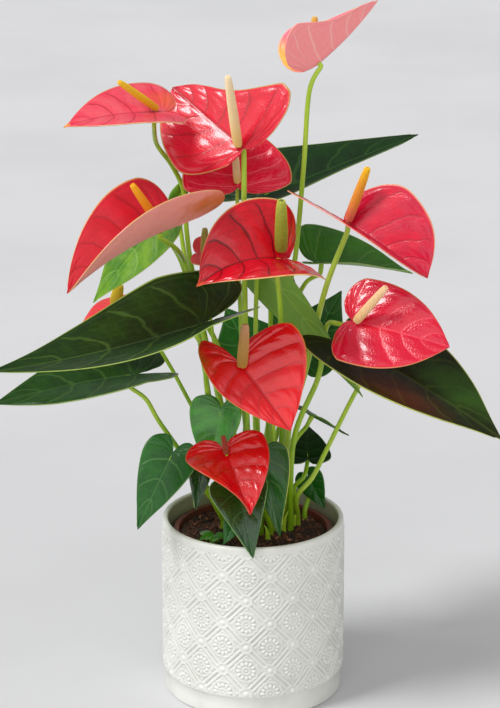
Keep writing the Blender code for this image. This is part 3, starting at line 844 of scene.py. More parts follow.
LEAVES = [
    Leaf(
        attach=(-41, -60, 192), tip=(-195, -105, 169), face=(0, 0, 10),
        width=112, fold=(17, 32), opening=(-35, 0), droop=-10, lobes=(1.0, 1.0), taper=(0.12, 0.12),
        foot=(-12, 8), route=[(-24, -10, 72), (-35, -19, 118), (-38, -50, 168)],
        finish=Skin.DARK_LEAF,
    ),
    Leaf(
        attach=(-95, 15, 127), tip=(-204, -20, 114), face=(0, 0, 10),
        width=88, fold=(12, 25), opening=(-35, 0), droop=10, lobes=(1.0, 1.0),
        foot=(-20, 18), route=[(-38, 4, 33), (-59, 6, 67), (-75, 10, 90), (-85, 13, 107)],
        finish=Skin.GREY_LEAF,
    ),
    Leaf(
        attach=(7, 68, 259), tip=(132, 101, 301), face=(2, -3, 9),
        width=96, fold=(5, 35), droop=0, lobes=(1.0, 1.0), taper=(0.1, 0.1),
        foot=(14, 40), route=[(12, 28, 67), (14, 40, 164), (12, 58, 217)],
        finish=Skin.DEEP_LEAF,
    ),
    Leaf(
        attach=(51, 60, 206), tip=(129, 85, 190), face=(0, 0, 10),
        width=84, fold=(35, 15), droop=10, lobes=(0.5, 0.8),
        foot=(28, 42), route=[(25, 38, 63), (33, 42, 165), (41, 52, 190)],
        finish=Skin.MID_LEAF,
    ),
    Leaf(
        attach=(88, -40, 162), tip=(187, -100, 114), face=(2, -5, 8),
        width=96, fold=(5, 10), droop=10, lobes=(1.0, 1.5), halves=(1, 0.8), belly=(0.15, 0.15),
        foot=(36, 16), route=[(35, -2, 30), (47, -4, 47), (58, -8, 72), (77, -12, 115)],
        finish=Skin.BLACK_LEAF, stalk=PALE_STALK, quilt=0.3,
    ),
    Leaf(
        attach=(4, -4, 225), tip=(85, -34, 125), face=(5, 10, 0),
        width=46, fold=(5, 5), droop=10, lobes=(0.5, 0.5), halves=(1, 0.6),
        foot=(7, 21), route=[(4, 8, 74), (2, 12, 156)],
        finish=Skin.UNDER_LEAF,
    ),
    Leaf(
        attach=(2, 60, 122), tip=(-22, 80, 162), face=(0, -8, 4),
        width=66, fold=(5, 5), droop=0, lobes=(1.0, 1.0),
        foot=(2, 46), route=[(2, 44, 61)],
        finish=Skin.BLUE_LEAF,
    ),
    Leaf(
        attach=(43, 50, 134), tip=(71, 65, 181), face=(0, -8, 4),
        width=52, fold=(5, 5), droop=0, lobes=(1.0, 1.0),
        foot=(16, 48), route=[(18, 44, 61)],
        finish=Skin.BLUE_LEAF,
    ),
    Leaf(
        attach=(28, 62, 145), tip=(31, 82, 193), face=(0, -8, 4),
        width=32, fold=(5, 5), droop=0, lobes=(1.0, 1.0),
        foot=(8, 48), route=[(10, 52, 58)],
        finish=Skin.BLUE_LEAF,
    ),
    Leaf(
        attach=(-63, -30, 77), tip=(-90, -55, 23), face=(-2, -7, 6),
        width=46, fold=(5, 5), droop=10, lobes=(0.7, 0.7),
        foot=(-16, 4), route=[(-32, -16, 38), (-50, -22, 60)],
        finish=Skin.BLUE_LEAF,
    ),
    Leaf(
        attach=(-25, -30, 114), tip=(-35, -40, 63), face=(-1, -9, 4),
        width=48, fold=(40, 5), droop=10, lobes=(0.6, 0.6),
        foot=(-2, 2), route=[(-15, -18, 59), (-21, -24, 94)],
        finish=Skin.BRIGHT_LEAF,
    ),
    Leaf(
        attach=(9, -38, 81), tip=(21, -54, 16), face=(-5, -8, 3),
        width=44, fold=(5, 25), droop=10, lobes=(0.4, 0.4), halves=(1, 0.7),
        foot=(14, -8), route=[(7, -30, 46)],
        finish=Skin.GREEN_LEAF,
    ),
    Leaf(
        attach=(-12, -50, 58), tip=(0, -80, 9), face=(0, -8, 6),
        width=46, fold=(5, 5), droop=20, lobes=(0.5, 0.5), taper=(0.15, 0.15),
        foot=(2, -14), route=[(-4, -38, 37)],
        finish=Skin.GLOSSY_LEAF,
    ),
    Leaf(
        attach=(-10, -48, 35), tip=(-23, -62, 13), face=(0, -8, 6),
        width=22, fold=(5, 5), droop=10, lobes=(1.0, 1.0),
        foot=(-8, -18), route=[],
        finish=Skin.BLUE_LEAF,
    ),
    Leaf(
        attach=(-41, -25, 67), tip=(-45, -40, 33), face=(0, -8, 4),
        width=20, fold=(5, 25), droop=10, lobes=(1.0, 1.0),
        foot=(-24, 8), route=[(-36, -4, 36)],
        finish=Skin.GLOSSY_LEAF,
    ),
    Leaf(
        attach=(44, 28, 51), tip=(44, 58, 70), face=(0, -6, 8),
        width=38, fold=(5, 5), droop=0, lobes=(0.6, 0.6),
        foot=(36, 28), route=[(33, 26, 26), (41, 27, 36)],
        finish=Skin.DEEP_LEAF,
    ),
    Leaf(
        attach=(44, 24, 91), tip=(77, 29, 71), face=(2, 2, 9),
        width=26, fold=(15, 15), droop=0, lobes=(1.0, 1.0),
        foot=(28, 28), route=[(31, 11, 65)],
        finish=Skin.DEEP_LEAF,
    ),
    Leaf(
        attach=(45, 35, 32), tip=(58, 26, 9), face=(-3, -9, 2),
        width=24, fold=(5, 5), droop=0, lobes=(1.0, 1.0),
        foot=(42, 30), route=[],
        finish=Skin.BLUE_LEAF,
    ),
    Leaf(
        attach=(-74, 5, 255), tip=(-124, -10, 194), face=(-3, -7, 6),
        width=50, fold=(5, 5), droop=0, lobes=(0.7, 0.7),
        foot=(-16, 36), route=[(-30, 20, 78), (-45, 20, 170), (-56, 16, 219)],
        finish=Skin.LIME_LEAF,
    ),
    Leaf(
        attach=(-60, 40, 263), tip=(-49, 45, 284), face=(3, -8, 2),
        width=14, fold=(5, 5), droop=0, lobes=(1.0, 1.0),
        foot=(-4, 42), route=[(-22, 26, 76), (-39, 32, 158), (-53, 38, 213)],
        finish=Skin.LIME_LEAF,
    ),
]


# --- Shapes -----------------------------------------------------------------------------------


def place(point: Any) -> np.ndarray:
    """Turn millimetres from the crown into a place in the scene."""
    return CROWN + np.array(point, float) * MM


def unit(vector: np.ndarray) -> np.ndarray:
    """Return a vector at length 1."""
    return vector / np.linalg.norm(vector)


def smooth_points(points: Any, shares: np.ndarray) -> np.ndarray:
    """Read a Catmull-Rom curve.

    Args:
        points: The points it passes through.
        shares: Where to read it, 0 to 1.

    Returns:
        One row for each share.
    """
    points = np.array(points, float)
    ends = np.vstack([2 * points[0] - points[1], points, 2 * points[-1] - points[-2]])
    spans = len(points) - 1
    k = np.minimum((shares * spans).astype(int), spans - 1)
    f = (shares * spans - k)[..., None]
    a, b, c, d = ends[k], ends[k + 1], ends[k + 2], ends[k + 3]
    return 0.5 * (2 * b + (c - a) * f + (2 * a - 5 * b + 4 * c - d) * f ** 2
                  + (3 * b - a - 3 * c + d) * f ** 3)


def mesh_object(name: str, points: np.ndarray, faces: Any) -> bpy.types.Object:
    """Make a smooth-shaded mesh object at the origin."""
    mesh = bpy.data.meshes.new(name)
    mesh.from_pydata(points.tolist(), [], faces)
    mesh.shade_smooth()
    obj = bpy.data.objects.new(name, mesh)
    bpy.context.scene.collection.objects.link(obj)
    return obj


def store(obj: bpy.types.Object, name: str, values: np.ndarray) -> None:
    """Store three numbers for each vertex as a mesh attribute."""
    layer = obj.data.attributes.new(name, "FLOAT_VECTOR", "POINT")
    layer.data.foreach_set("vector", values.astype(np.float32).ravel())


def weld(obj: bpy.types.Object, outwards: bool = False) -> None:
    """Merge vertices that coincide, and turn a closed shape's faces outwards."""
    bm = bmesh.new()
    bm.from_mesh(obj.data)
    bmesh.ops.remove_doubles(bm, verts=bm.verts, dist=1e-6)
    if outwards:
        bmesh.ops.recalc_face_normals(bm, faces=bm.faces)
    bm.to_mesh(obj.data)
    bm.free()
    obj.data.shade_smooth()


def show(piece: bpy.types.Object, slot: str, *nodes: str) -> bpy.types.Object:
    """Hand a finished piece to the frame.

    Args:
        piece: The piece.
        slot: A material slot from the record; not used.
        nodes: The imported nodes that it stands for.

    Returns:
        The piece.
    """
    if nodes:
        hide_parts(*nodes)
    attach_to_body(piece, BODY)
    log.info("%s: %d vertices", piece.name, len(piece.data.vertices))
    return piece


def slot_of(node: str) -> str:
    """Return the material slot that the record gives a node."""
    return next(part["material_slot"] for part in frame["record"]["subparts"] if part["node"] == node)


class Blade:
    """The bent sheet of a leaf or spathe."""

    SKIN = 0.7 * MM
    CREASE = 2.5 * MM  # how softly a folded midrib turns
    RIPPLE = 0.7  # millimetres of wave at the margin for a ripple of 1
    GROOVE = 1.3 * MM  # half width of the groove along the midrib
    VEIN_IN = 0.92  # where the vein inside the margin runs, as a share of the half width
    ROWS_A_MM = 1.25
    COLUMNS_A_MM = 0.62

    def __init__(self, plan: Leaf, outline: np.ndarray, number: int) -> None:
        """Set the blade's own axes from its plan."""
        self.plan = plan
        self.outline = outline
        self.number = number
        self.finish = plan.finish.value
        self.base = place(plan.attach)
        chord = place(plan.tip) - self.base
        self.length = float(np.linalg.norm(chord))
        self.along = unit(chord)
        self.across = unit(np.cross(np.array(plan.face, float), self.along))
        self.up = np.cross(self.along, self.across)
        self.half_width = plan.width / 2 * MM

    def margin(self, s: np.ndarray, side: int) -> tuple[np.ndarray, np.ndarray]:
        """Return the outline at shares s on a side, as along and across shares."""
        plan = self.plan
        u, w = smooth_points(self.outline, s).T
        full = u + 0.5 * plan.belly[side] * np.sin(pi * u)
        slim = w * (1 - plan.taper[side] * np.sin(pi * np.clip((full - 0.1) / 0.9, 0, 1)))
        along = np.where(u < 0, u * plan.lobes[side], full)
        narrow = 1 - plan.waist[side] * (1 - np.clip(along / WAIST_REACH, 0, 1)) ** 2
        return along, np.where(u < 0, w, slim) * narrow * plan.halves[side]

    def bend(self, u: np.ndarray, height: np.ndarray, offset: np.ndarray) -> np.ndarray:
        """Carry points, lifted and moved aside, along the drooping midrib."""
        droop = radians(self.plan.droop)
        if abs(droop) < 0.001:
            reach, rise = u * self.length, height
        else:
            radius = self.length / (2 * sin(droop / 2))
            angle = droop * (u - 0.5)
            reach = self.length / 2 + (radius + height) * np.sin(angle)
            rise = (radius + height) * np.cos(angle) - radius * cos(droop / 2)
        return (self.base + np.multiply.outer(reach, self.along)
                + np.multiply.outer(offset, self.across) + np.multiply.outer(rise, self.up))

    def half(self, s: np.ndarray, share: np.ndarray, side: int) -> tuple[np.ndarray, np.ndarray, np.ndarray]:
        """Lay out one half of the blade.

        Args:
            s: Shares along the outline.
            share: Shares from the midrib to the margin.
            side: 0 for the left half, 1 for the right half.

        Returns:
            The points, and their along and across shares.
        """
        plan = self.plan
        edge_u, edge_w = self.margin(s, side)
        root = np.clip((s - FAN) / (1 - FAN), 0, 1)
        u = root[:, None] + (edge_u - root)[:, None] * share
        w = edge_w[:, None] * share
        reach = w * self.half_width
        soft = np.sqrt(reach ** 2 + self.CREASE ** 2) - self.CREASE
        fold = np.radians(plan.fold[side] + plan.opening[side] * np.maximum(0, u))
        bend = radians(plan.curl[side]) / self.half_width
        if abs(bend) < 1e-6:
            offset, height = reach * np.cos(fold), soft * np.sin(fold)
        else:
            offset = (np.sin(fold + bend * reach) - np.sin(fold)) / bend
            height = (np.cos(fold) - np.cos(fold + bend * soft)) / bend
        wave = sin(self.number * 2.1) + np.sin(2 * pi * (2.3 * s + 0.37 * self.number + 0.5 * side))
        ripple = plan.ripple * MM * self.RIPPLE * (share ** 3) * wave[:, None]
        height = height + ripple * (edge_w > 0.05)[:, None]
        sign = 1 if side == 0 else -1
        return self.bend(u, height, sign * offset), u, sign * w

    def swell(self, s: np.ndarray, share: np.ndarray, u: np.ndarray, w: np.ndarray) -> np.ndarray:
        """Return how far each point stands up: quilting between veins, grooves along them."""
        phase = (s[:, None] - self.finish.sweep * share ** 1.4) * self.finish.veins
        apart = np.abs(phase % 1 - 0.5) * 2
        pillows = np.abs(np.sin(pi * (share * 3.1 - phase * 0.55 + 0.4 * np.sin(phase * 2.3))))
        rise = (np.sin(pi * apart / 2) * (0.55 + 0.45 * pillows) * np.sqrt(np.clip(share, 0, 1))
                * np.clip((1 - share) * 6, 0, 1))
        groove = np.exp(-(w * self.half_width / self.GROOVE) ** 2) * (u > 0)
        rim = np.exp(-((share - self.VEIN_IN) / 0.02) ** 2)
        return (self.plan.quilt * (rise - 0.4) - 0.35 * groove - 0.15 * rim) * MM

    def build(self, name: str) -> bpy.types.Object:
        """Make the blade's mesh with its quilting, attributes, finishes and thickness."""
        rows = int(np.clip(self.length / MM * self.ROWS_A_MM, 40, 150))
        half = int(np.clip(self.half_width / MM * self.COLUMNS_A_MM, 10, 34))
        s = np.linspace(0, 1, rows + 1)
        share = np.linspace(0, 1, half + 1) ** 0.9
        points, us, ws, shares = [], [], [], []
        for side in (1, 0):
            p, u, w = self.half(s, share, side)
            a = np.broadcast_to(share, u.shape)
            if side:
                p, u, w, a = p[:, :0:-1], u[:, :0:-1], w[:, :0:-1], a[:, :0:-1]
            points.append(p)
            us.append(u)
            ws.append(w)
            shares.append(a)
        grid, u, w, a = (np.concatenate(part, axis=1) for part in (points, us, ws, shares))
        normal = np.cross(np.gradient(grid, axis=0), np.gradient(grid, axis=1))
        size = np.linalg.norm(normal, axis=2, keepdims=True)
        normal = np.where(size > 1e-12, normal / np.maximum(size, 1e-12), self.up)
        grid = grid + normal * self.swell(s, a, u, w)[..., None]
        count = grid.shape[1]
        faces = [
            (i * count + j, (i + 1) * count + j, (i + 1) * count + j + 1, i * count + j + 1)
            for i in range(rows) for j in range(count - 1)
        ]
        obj = mesh_object(name, grid.reshape(-1, 3), faces)
        s_all = np.broadcast_to(s[:, None], a.shape)
        store(obj, "sheet", np.stack([s_all, a, np.sign(w)], -1).reshape(-1, 3))
        store(obj, "plan", np.stack([u, w, s_all], -1).reshape(-1, 3))
        weld(obj)
        skin = self.finish
        for make, side_name in (
            (skin.upper_material, "upper"), (skin.under_material, "under"), (skin.edge_material, "edge"),
        ):
            obj.data.materials.append(make(f"{name}_{side_name}"))
        solid = obj.modifiers.new("Thickness", "SOLIDIFY")
        solid.thickness = self.SKIN
        solid.offset = 0
        solid.material_offset = 1
        solid.material_offset_rim = 2
        return obj

    def seat(self) -> tuple[np.ndarray, np.ndarray]:
        """Return where the stalk joins the midrib, and the blade's normal there."""
        u = np.array(SEAT / self.length)
        angle = radians(self.plan.droop) * (float(u) - 0.5)
        normal = self.along * sin(angle) + self.up * cos(angle)
        return self.bend(u, np.array(0.0), np.array(0.0)), normal


# --- Geometry Nodes trees ---------------------------------------------------------------------


class Kind(Enum):
    """The kinds of a tree's inputs."""

    GEOMETRY = "NodeSocketGeometry"
    NUMBER = "NodeSocketFloat"
    COUNT = "NodeSocketInt"
    VECTOR = "NodeSocketVector"
    FINISH = "NodeSocketMaterial"


class ShapeTree(Graph):
    """A Geometry Nodes tree with named inputs, run once on a carrier object."""

    def __init__(self, name: str, inputs: dict[str, Kind]) -> None:
        """Start a tree.

        Args:
            name: The tree's name.
            inputs: The kind of each named input.
        """
        super().__init__(bpy.data.node_groups.new(name, "GeometryNodeTree"))
        self.identifiers = {}
        for label, kind in inputs.items():
            made = self.tree.interface.new_socket(label, in_out="INPUT", socket_type=kind.value)
            self.identifiers[label] = made.identifier
        self.tree.interface.new_socket("Geometry", in_out="OUTPUT", socket_type="NodeSocketGeometry")
        self.inputs = self.node("NodeGroupInput").outputs

    def number(self, name: str) -> Signal:
        """Return a number input as a signal."""
        return Signal(self, self.inputs[name])

    def vector(self, operation: str, *terms: Any) -> bpy.types.NodeSocket:
        """Add a Vector Math node and return its result."""
        made = self.node("ShaderNodeVectorMath", {"operation": operation})
        for place_of, term in enumerate(terms):
            key = "Scale" if operation == "SCALE" and place_of == 1 else place_of
            self.plug(made.inputs[key], term)
        scalar = operation in ("LENGTH", "DOT_PRODUCT", "DISTANCE")
        return made.outputs["Value" if scalar else "Vector"]

    def close(self, geometry: Any) -> None:
        """End the tree: make instances real, set the finish and give the result out."""
        real = self.node("GeometryNodeRealizeInstances", None, {0: geometry})
        smooth = self.node("GeometryNodeSetShadeSmooth", None, {0: real.outputs[0]})
        painted = self.node(
            "GeometryNodeSetMaterial", None, {0: smooth.outputs[0], "Material": self.inputs["Finish"]},
        )
        out = self.node("NodeGroupOutput")
        self.plug(out.inputs[0], painted.outputs[0])

    def run(self, name: str, carrier: bpy.types.Object, values: dict[str, Any]) -> bpy.types.Object:
        """Run the tree and keep the result as a plain mesh object.

        Args:
            name: The new piece's name.
            carrier: The object that the tree runs on, which is then removed.
            values: The inputs' values by name.

        Returns:
            The new piece.
        """
        modifier = carrier.modifiers.new("Shape", "NODES")
        modifier.node_group = self.tree
        for label, value in values.items():
            modifier[self.identifiers[label]] = value
        depsgraph = bpy.context.evaluated_depsgraph_get()
        mesh = bpy.data.meshes.new_from_object(carrier.evaluated_get(depsgraph))
        mesh.name = name
        piece = bpy.data.objects.new(name, mesh)
        bpy.context.scene.collection.objects.link(piece)
        bpy.data.objects.remove(carrier)
        return piece


class StalkTree(ShapeTree):
    """Sweeps a round section along a curve, as thick as the curve's own radius."""

    def __init__(self) -> None:
        """Build the tree."""
        super().__init__("stalk", {"Path": Kind.GEOMETRY, "Sides": Kind.COUNT, "Finish": Kind.FINISH})
        share = self.node("GeometryNodeSplineParameter").outputs["Factor"]
        tag = self.node("ShaderNodeCombineXYZ", None, {0: share})
        path = self.node(
            "GeometryNodeStoreNamedAttribute", {"data_type": "FLOAT_VECTOR", "domain": "POINT"},
            {"Geometry": self.inputs["Path"], "Name": "stalk", "Value": tag.outputs[0]},
        )
        ring = self.node(
            "GeometryNodeCurvePrimitiveCircle", None, {"Resolution": self.inputs["Sides"], "Radius": 1.0},
        )
        swept = self.node(
            "GeometryNodeCurveToMesh", None,
            {"Curve": path.outputs[0], "Profile Curve": ring.outputs[0], "Fill Caps": True,
             "Scale": self.node("GeometryNodeInputRadius").outputs[0]},
        )
        self.close(swept.outputs[0])


class SpadixTree(ShapeTree):
    """Sets florets in a spiral on a round tapering body."""

    TURN = 2.39996  # radians from one floret to the next

    def __init__(self) -> None:
        """Build the tree."""
        super().__init__("spadix", {
            "Base": Kind.GEOMETRY, "Start": Kind.VECTOR, "Tip": Kind.VECTOR, "Radius": Kind.NUMBER,
            "Florets": Kind.COUNT, "Floret": Kind.NUMBER, "Finish": Kind.FINISH,
        })
        axis = self.vector("SUBTRACT", self.inputs["Tip"], self.inputs["Start"])
        way = self.vector("NORMALIZE", axis)
        side = self.vector("NORMALIZE", self.vector("CROSS_PRODUCT", way, (0.3, 1.0, 0.2)))
        other = self.vector("CROSS_PRODUCT", way, side)
        index = Signal(self, self.node("GeometryNodeInputIndex").outputs[0])
        share = (index + 0.5) / self.number("Florets")
        turn = index * self.TURN
        radius = self.width_at(share)
        out = self.vector("ADD", self.vector("SCALE", side, radius * turn.math("COSINE")),
                          self.vector("SCALE", other, radius * turn.math("SINE")))
        spot = self.vector("ADD", self.inputs["Start"], self.vector("SCALE", axis, share))
        points = self.node("GeometryNodePoints", None, {
            "Count": self.inputs["Florets"], "Position": self.vector("ADD", spot, out)})
        bead = self.node("GeometryNodeMeshIcoSphere", None, {"Radius": 1.0, "Subdivisions": 1})
        beads = self.node("GeometryNodeInstanceOnPoints", None, {
            "Points": points.outputs[0], "Instance": bead.outputs[0], "Scale": self.inputs["Floret"]})
        line = self.node("GeometryNodeCurvePrimitiveLine", None, {
            "Start": self.inputs["Start"], "End": self.inputs["Tip"]})
        fine = self.node("GeometryNodeResampleCurve", None, {"Curve": line.outputs[0], "Count": 28})
        along = Signal(self, self.node("GeometryNodeSplineParameter").outputs["Factor"])
        shaped = self.node("GeometryNodeSetCurveRadius", None, {
            "Curve": fine.outputs[0], "Radius": self.width_at(along)})
        ring = self.node("GeometryNodeCurvePrimitiveCircle", None, {"Resolution": 20, "Radius": 1.0})
        body = self.node("GeometryNodeCurveToMesh", None, {
            "Curve": shaped.outputs[0], "Profile Curve": ring.outputs[0], "Fill Caps": True,
            "Scale": self.node("GeometryNodeInputRadius").outputs[0]})
        joined = self.node("GeometryNodeJoinGeometry")
        self.plug(joined.inputs[0], beads.outputs[0])
        self.plug(joined.inputs[0], body.outputs[0])
        real = self.node("GeometryNodeRealizeInstances", None, {0: joined.outputs[0]})
        here = self.node("GeometryNodeInputPosition").outputs[0]
        from_start = self.vector("SUBTRACT", here, self.inputs["Start"])
        reach = Signal(self, self.vector("DOT_PRODUCT", from_start, way))
        where = reach / Signal(self, self.vector("LENGTH", axis))
        away = Signal(self, self.vector("LENGTH", self.vector("CROSS_PRODUCT", from_start, way)))
        above = (away - self.width_at(where)) / self.number("Floret")
        tag = self.node("ShaderNodeCombineXYZ", None, {0: where, 1: above})
        tagged = self.node(
            "GeometryNodeStoreNamedAttribute", {"data_type": "FLOAT_VECTOR", "domain": "POINT"},
            {"Geometry": real.outputs[0], "Name": "florets", "Value": tag.outputs[0]},
        )
        self.close(tagged.outputs[0])

    def width_at(self, share: Signal) -> Signal:
        """Return the body's radius at a share of the way to the tip."""
        curve = self.node("ShaderNodeFloatCurve", {"stops": SPADIX_SHAPE}, {"Value": share})
        return Signal(self, curve.outputs[0]) * self.number("Radius")


class ScatterTree(ShapeTree):
    """Scatters small rough chips over a surface."""

    def __init__(self) -> None:
        """Build the tree."""
        super().__init__("scatter", {
            "Ground": Kind.GEOMETRY, "Density": Kind.NUMBER, "Seed": Kind.COUNT, "Smallest": Kind.VECTOR,
            "Largest": Kind.VECTOR, "Tilt": Kind.NUMBER, "Middle": Kind.VECTOR, "Reach": Kind.NUMBER,
            "Finish": Kind.FINISH,
        })
        here = self.node("GeometryNodeInputPosition").outputs[0]
        away = Signal(self, self.vector("DISTANCE", here, self.inputs["Middle"]))
        near = self.node("FunctionNodeCompare", {"operation": "LESS_THAN"},
                         {0: away, 1: self.inputs["Reach"]})
        spots = self.node("GeometryNodeDistributePointsOnFaces", None, {
            "Mesh": self.inputs["Ground"], "Selection": near.outputs[0],
            "Density": self.inputs["Density"], "Seed": self.inputs["Seed"]})
        chip = self.node("GeometryNodeMeshIcoSphere", None, {"Radius": 1.0, "Subdivisions": 1})
        rough = self.node("FunctionNodeRandomValue", {"data_type": "FLOAT_VECTOR"},
                          {0: (-0.3, -0.3, -0.3), 1: (0.3, 0.3, 0.3), "Seed": 5})
        uneven = self.node("GeometryNodeSetPosition", None,
                           {"Geometry": chip.outputs[0], "Offset": rough.outputs[0]})
        size = self.node("FunctionNodeRandomValue", {"data_type": "FLOAT_VECTOR"}, {
            0: self.inputs["Smallest"], 1: self.inputs["Largest"], "Seed": self.inputs["Seed"]})
        tilt = self.number("Tilt")
        low = self.node("ShaderNodeCombineXYZ", None, {0: tilt * -1.0, 1: tilt * -1.0, 2: 0.0})
        high = self.node("ShaderNodeCombineXYZ", None, {0: tilt, 1: tilt, 2: 2 * pi})
        turn = self.node("FunctionNodeRandomValue", {"data_type": "FLOAT_VECTOR"}, {
            0: low.outputs[0], 1: high.outputs[0], "Seed": 11})
        placed = self.node("GeometryNodeInstanceOnPoints", None, {
            "Points": spots.outputs[0], "Instance": uneven.outputs[0],
            "Rotation": turn.outputs[0], "Scale": size.outputs[0]})
        self.close(placed.outputs[0])


# --- Sub-assemblies ---------------------------------------------------------------------------


@dataclass
class Stalks:
    """Makes stalks: flower stems and leaf stalks."""

    sides: int = 12
    points_a_span: int = 8
    buried: float = 8 * MM
    flare: float = 0.18
    flare_reach: float = 0.07
    joint_at: float = 0.95
    joint_reach: float = 0.05
    tree: Optional[StalkTree] = None

    def route(self, plan: Leaf, end: np.ndarray, normal: np.ndarray, stop: float) -> np.ndarray:
        """Return a stalk's points: from the soil, along its route, then square to the blade."""
        foot = place((*plan.foot, 0)) + (0, 0, GAP)
        top = end - normal * stop
        corners = [foot, foot + (0, 0, FOOT_RISE), *(place(p) for p in plan.route),
                   end - normal * plan.neck * NECK, top]
        spans = len(corners) - 1
        count = self.points_a_span * spans
        shares = np.arange(self.points_a_span, count - self.points_a_span + 1) / count
        middle = smooth_points(corners, shares)
        last = middle[-1]
        neck = [last + (top - last) * step for step in (0.25, 0.5, 0.75, 1)]
        return np.vstack([foot - (0, 0, self.buried), foot, middle, neck])

    def build(self, name: str, points: np.ndarray, radius: float, finish: StalkFinish,
              joint: float = 1.0, tip: float = STALK_TAPER) -> bpy.types.Object:
        """Make a stalk.

        Args:
            name: The piece's name.
            points: Its route from foot to top.
            radius: Its radius at the foot.
            finish: Its finish.
            joint: How much thicker it is just below the blade.
            tip: Radius at the top as a share of the foot's.

        Returns:
            The stalk.
        """
        if self.tree is None:
            self.tree = StalkTree()
        share = np.linspace(0, 1, len(points))
        girth = radius * (1 - (1 - tip) * share)
        girth *= 1 + self.flare * np.exp(-(share / self.flare_reach) ** 2)
        girth *= 1 + (joint - 1) * np.exp(-((share - self.joint_at) / self.joint_reach) ** 2)
        curve = bpy.data.curves.new(name, "CURVE")
        curve.dimensions = "3D"
        spline = curve.splines.new("POLY")
        spline.points.add(len(points) - 1)
        for slot_point, spot, width in zip(spline.points, points, girth):
            slot_point.co = (*spot, 1)
            slot_point.radius = width
        carrier = bpy.data.objects.new(name + "_path", curve)
        bpy.context.scene.collection.objects.link(carrier)
        piece = self.tree.run(name, carrier, {"Sides": self.sides, "Finish": finish.material(name)})
        weld(piece, outwards=True)
        return piece


@dataclass
class Foliage:
    """The twenty leaves, each a blade with its stalk."""

    stalks: Stalks
    joint: float = 1.25

    def build(self) -> None:
        """Make every leaf."""
        for number, plan in enumerate(LEAVES, 1):
            self.leaf(number, plan)

    def leaf(self, number: int, plan: Leaf) -> None:
        """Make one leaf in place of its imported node."""
        node = f"leaf_{number:02d}"
        blade = Blade(plan, LEAF_OUTLINE, number)
        show(blade.build(node + "_blade"), slot_of(node), node)
        end, normal = blade.seat()
        points = self.stalks.route(plan, end, normal, 0.2 * MM)
        stalk = self.stalks.build(node + "_stalk", points, LEAF_STALK_RADIUS, plan.stalk, self.joint)
        show(stalk, slot_of(node), node)


@dataclass
class Flowers:
    """The twelve flowers, each a stem, a spathe and a spadix."""

    stalks: Stalks
    floret: float = 0.62 * MM
    spacing: float = 1.12 * MM
    tree: Optional[SpadixTree] = None

    def build(self) -> None:
        """Make every flower."""
        self.tree = SpadixTree()
        for number, plan in enumerate(FLOWERS, 1):
            self.flower(number, plan)

    def flower(self, number: int, plan: Flower) -> None:
        """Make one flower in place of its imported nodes."""
        spathe = f"spathe_{number:02d}"
        stem = f"flower_stem_{number:02d}"
        spadix = f"spadix_{number:02d}"
        blade = Blade(plan, SPATHE_OUTLINE, number + 3)
        show(blade.build(spathe + "_blade"), slot_of(spathe), spathe)
        end, normal = blade.seat()
        clear = BLADE_THICKNESS / 2 + GAP
        points = self.stalks.route(plan, end, normal, 0.3 * MM)
        radius = plan.stem_radius * MM
        show(self.stalks.build(stem + "_stalk", points, radius, plan.stalk), slot_of(stem), stem)
        girth = plan.spadix_radius * MM
        lift = (clear + SPADIX_SHAPE[0][1] * girth) / cos(radians(max(plan.fold)))
        start = end + normal * lift
        tip = place(plan.spadix_tip)
        start = start - unit(tip - start) * girth * 0.5
        area = 2 * pi * girth * float(np.linalg.norm(tip - start))
        carrier = mesh_object(spadix + "_base", np.zeros((1, 3)), [])
        piece = self.tree.run(spadix + "_florets", carrier, {
            "Start": tuple(start), "Tip": tuple(tip), "Radius": girth - self.floret * 0.45,
            "Florets": int(area / self.spacing ** 2), "Floret": self.floret,
            "Finish": plan.spadix.value.material(spadix),
        })
        show(piece, slot_of(spadix), spadix)


def lathe(name: str, radii: np.ndarray, heights: np.ndarray, steps: int) -> bpy.types.Object:
    """Turn a closed profile, whose radii and heights may vary round the axis.

    Args:
        name: The piece's name.
        radii: One row for each profile point and one column for each step, or one column.
        heights: As radii.
        steps: Steps round the axis.

    Returns:
        The object, before its doubles are merged.
    """
    angles = np.arange(steps) * 2 * pi / steps
    radii = np.broadcast_to(radii, (len(radii), steps))
    heights = np.broadcast_to(heights, radii.shape)
    points = np.stack([radii * np.sin(angles), -radii * np.cos(angles), heights], -1)
    faces = [
        (i * steps + j, i * steps + (j + 1) % steps, (i + 1) * steps + (j + 1) % steps, (i + 1) * steps + j)
        for i in range(len(radii) - 1) for j in range(steps)
    ]
    return mesh_object(name, points.reshape(-1, 3), faces)


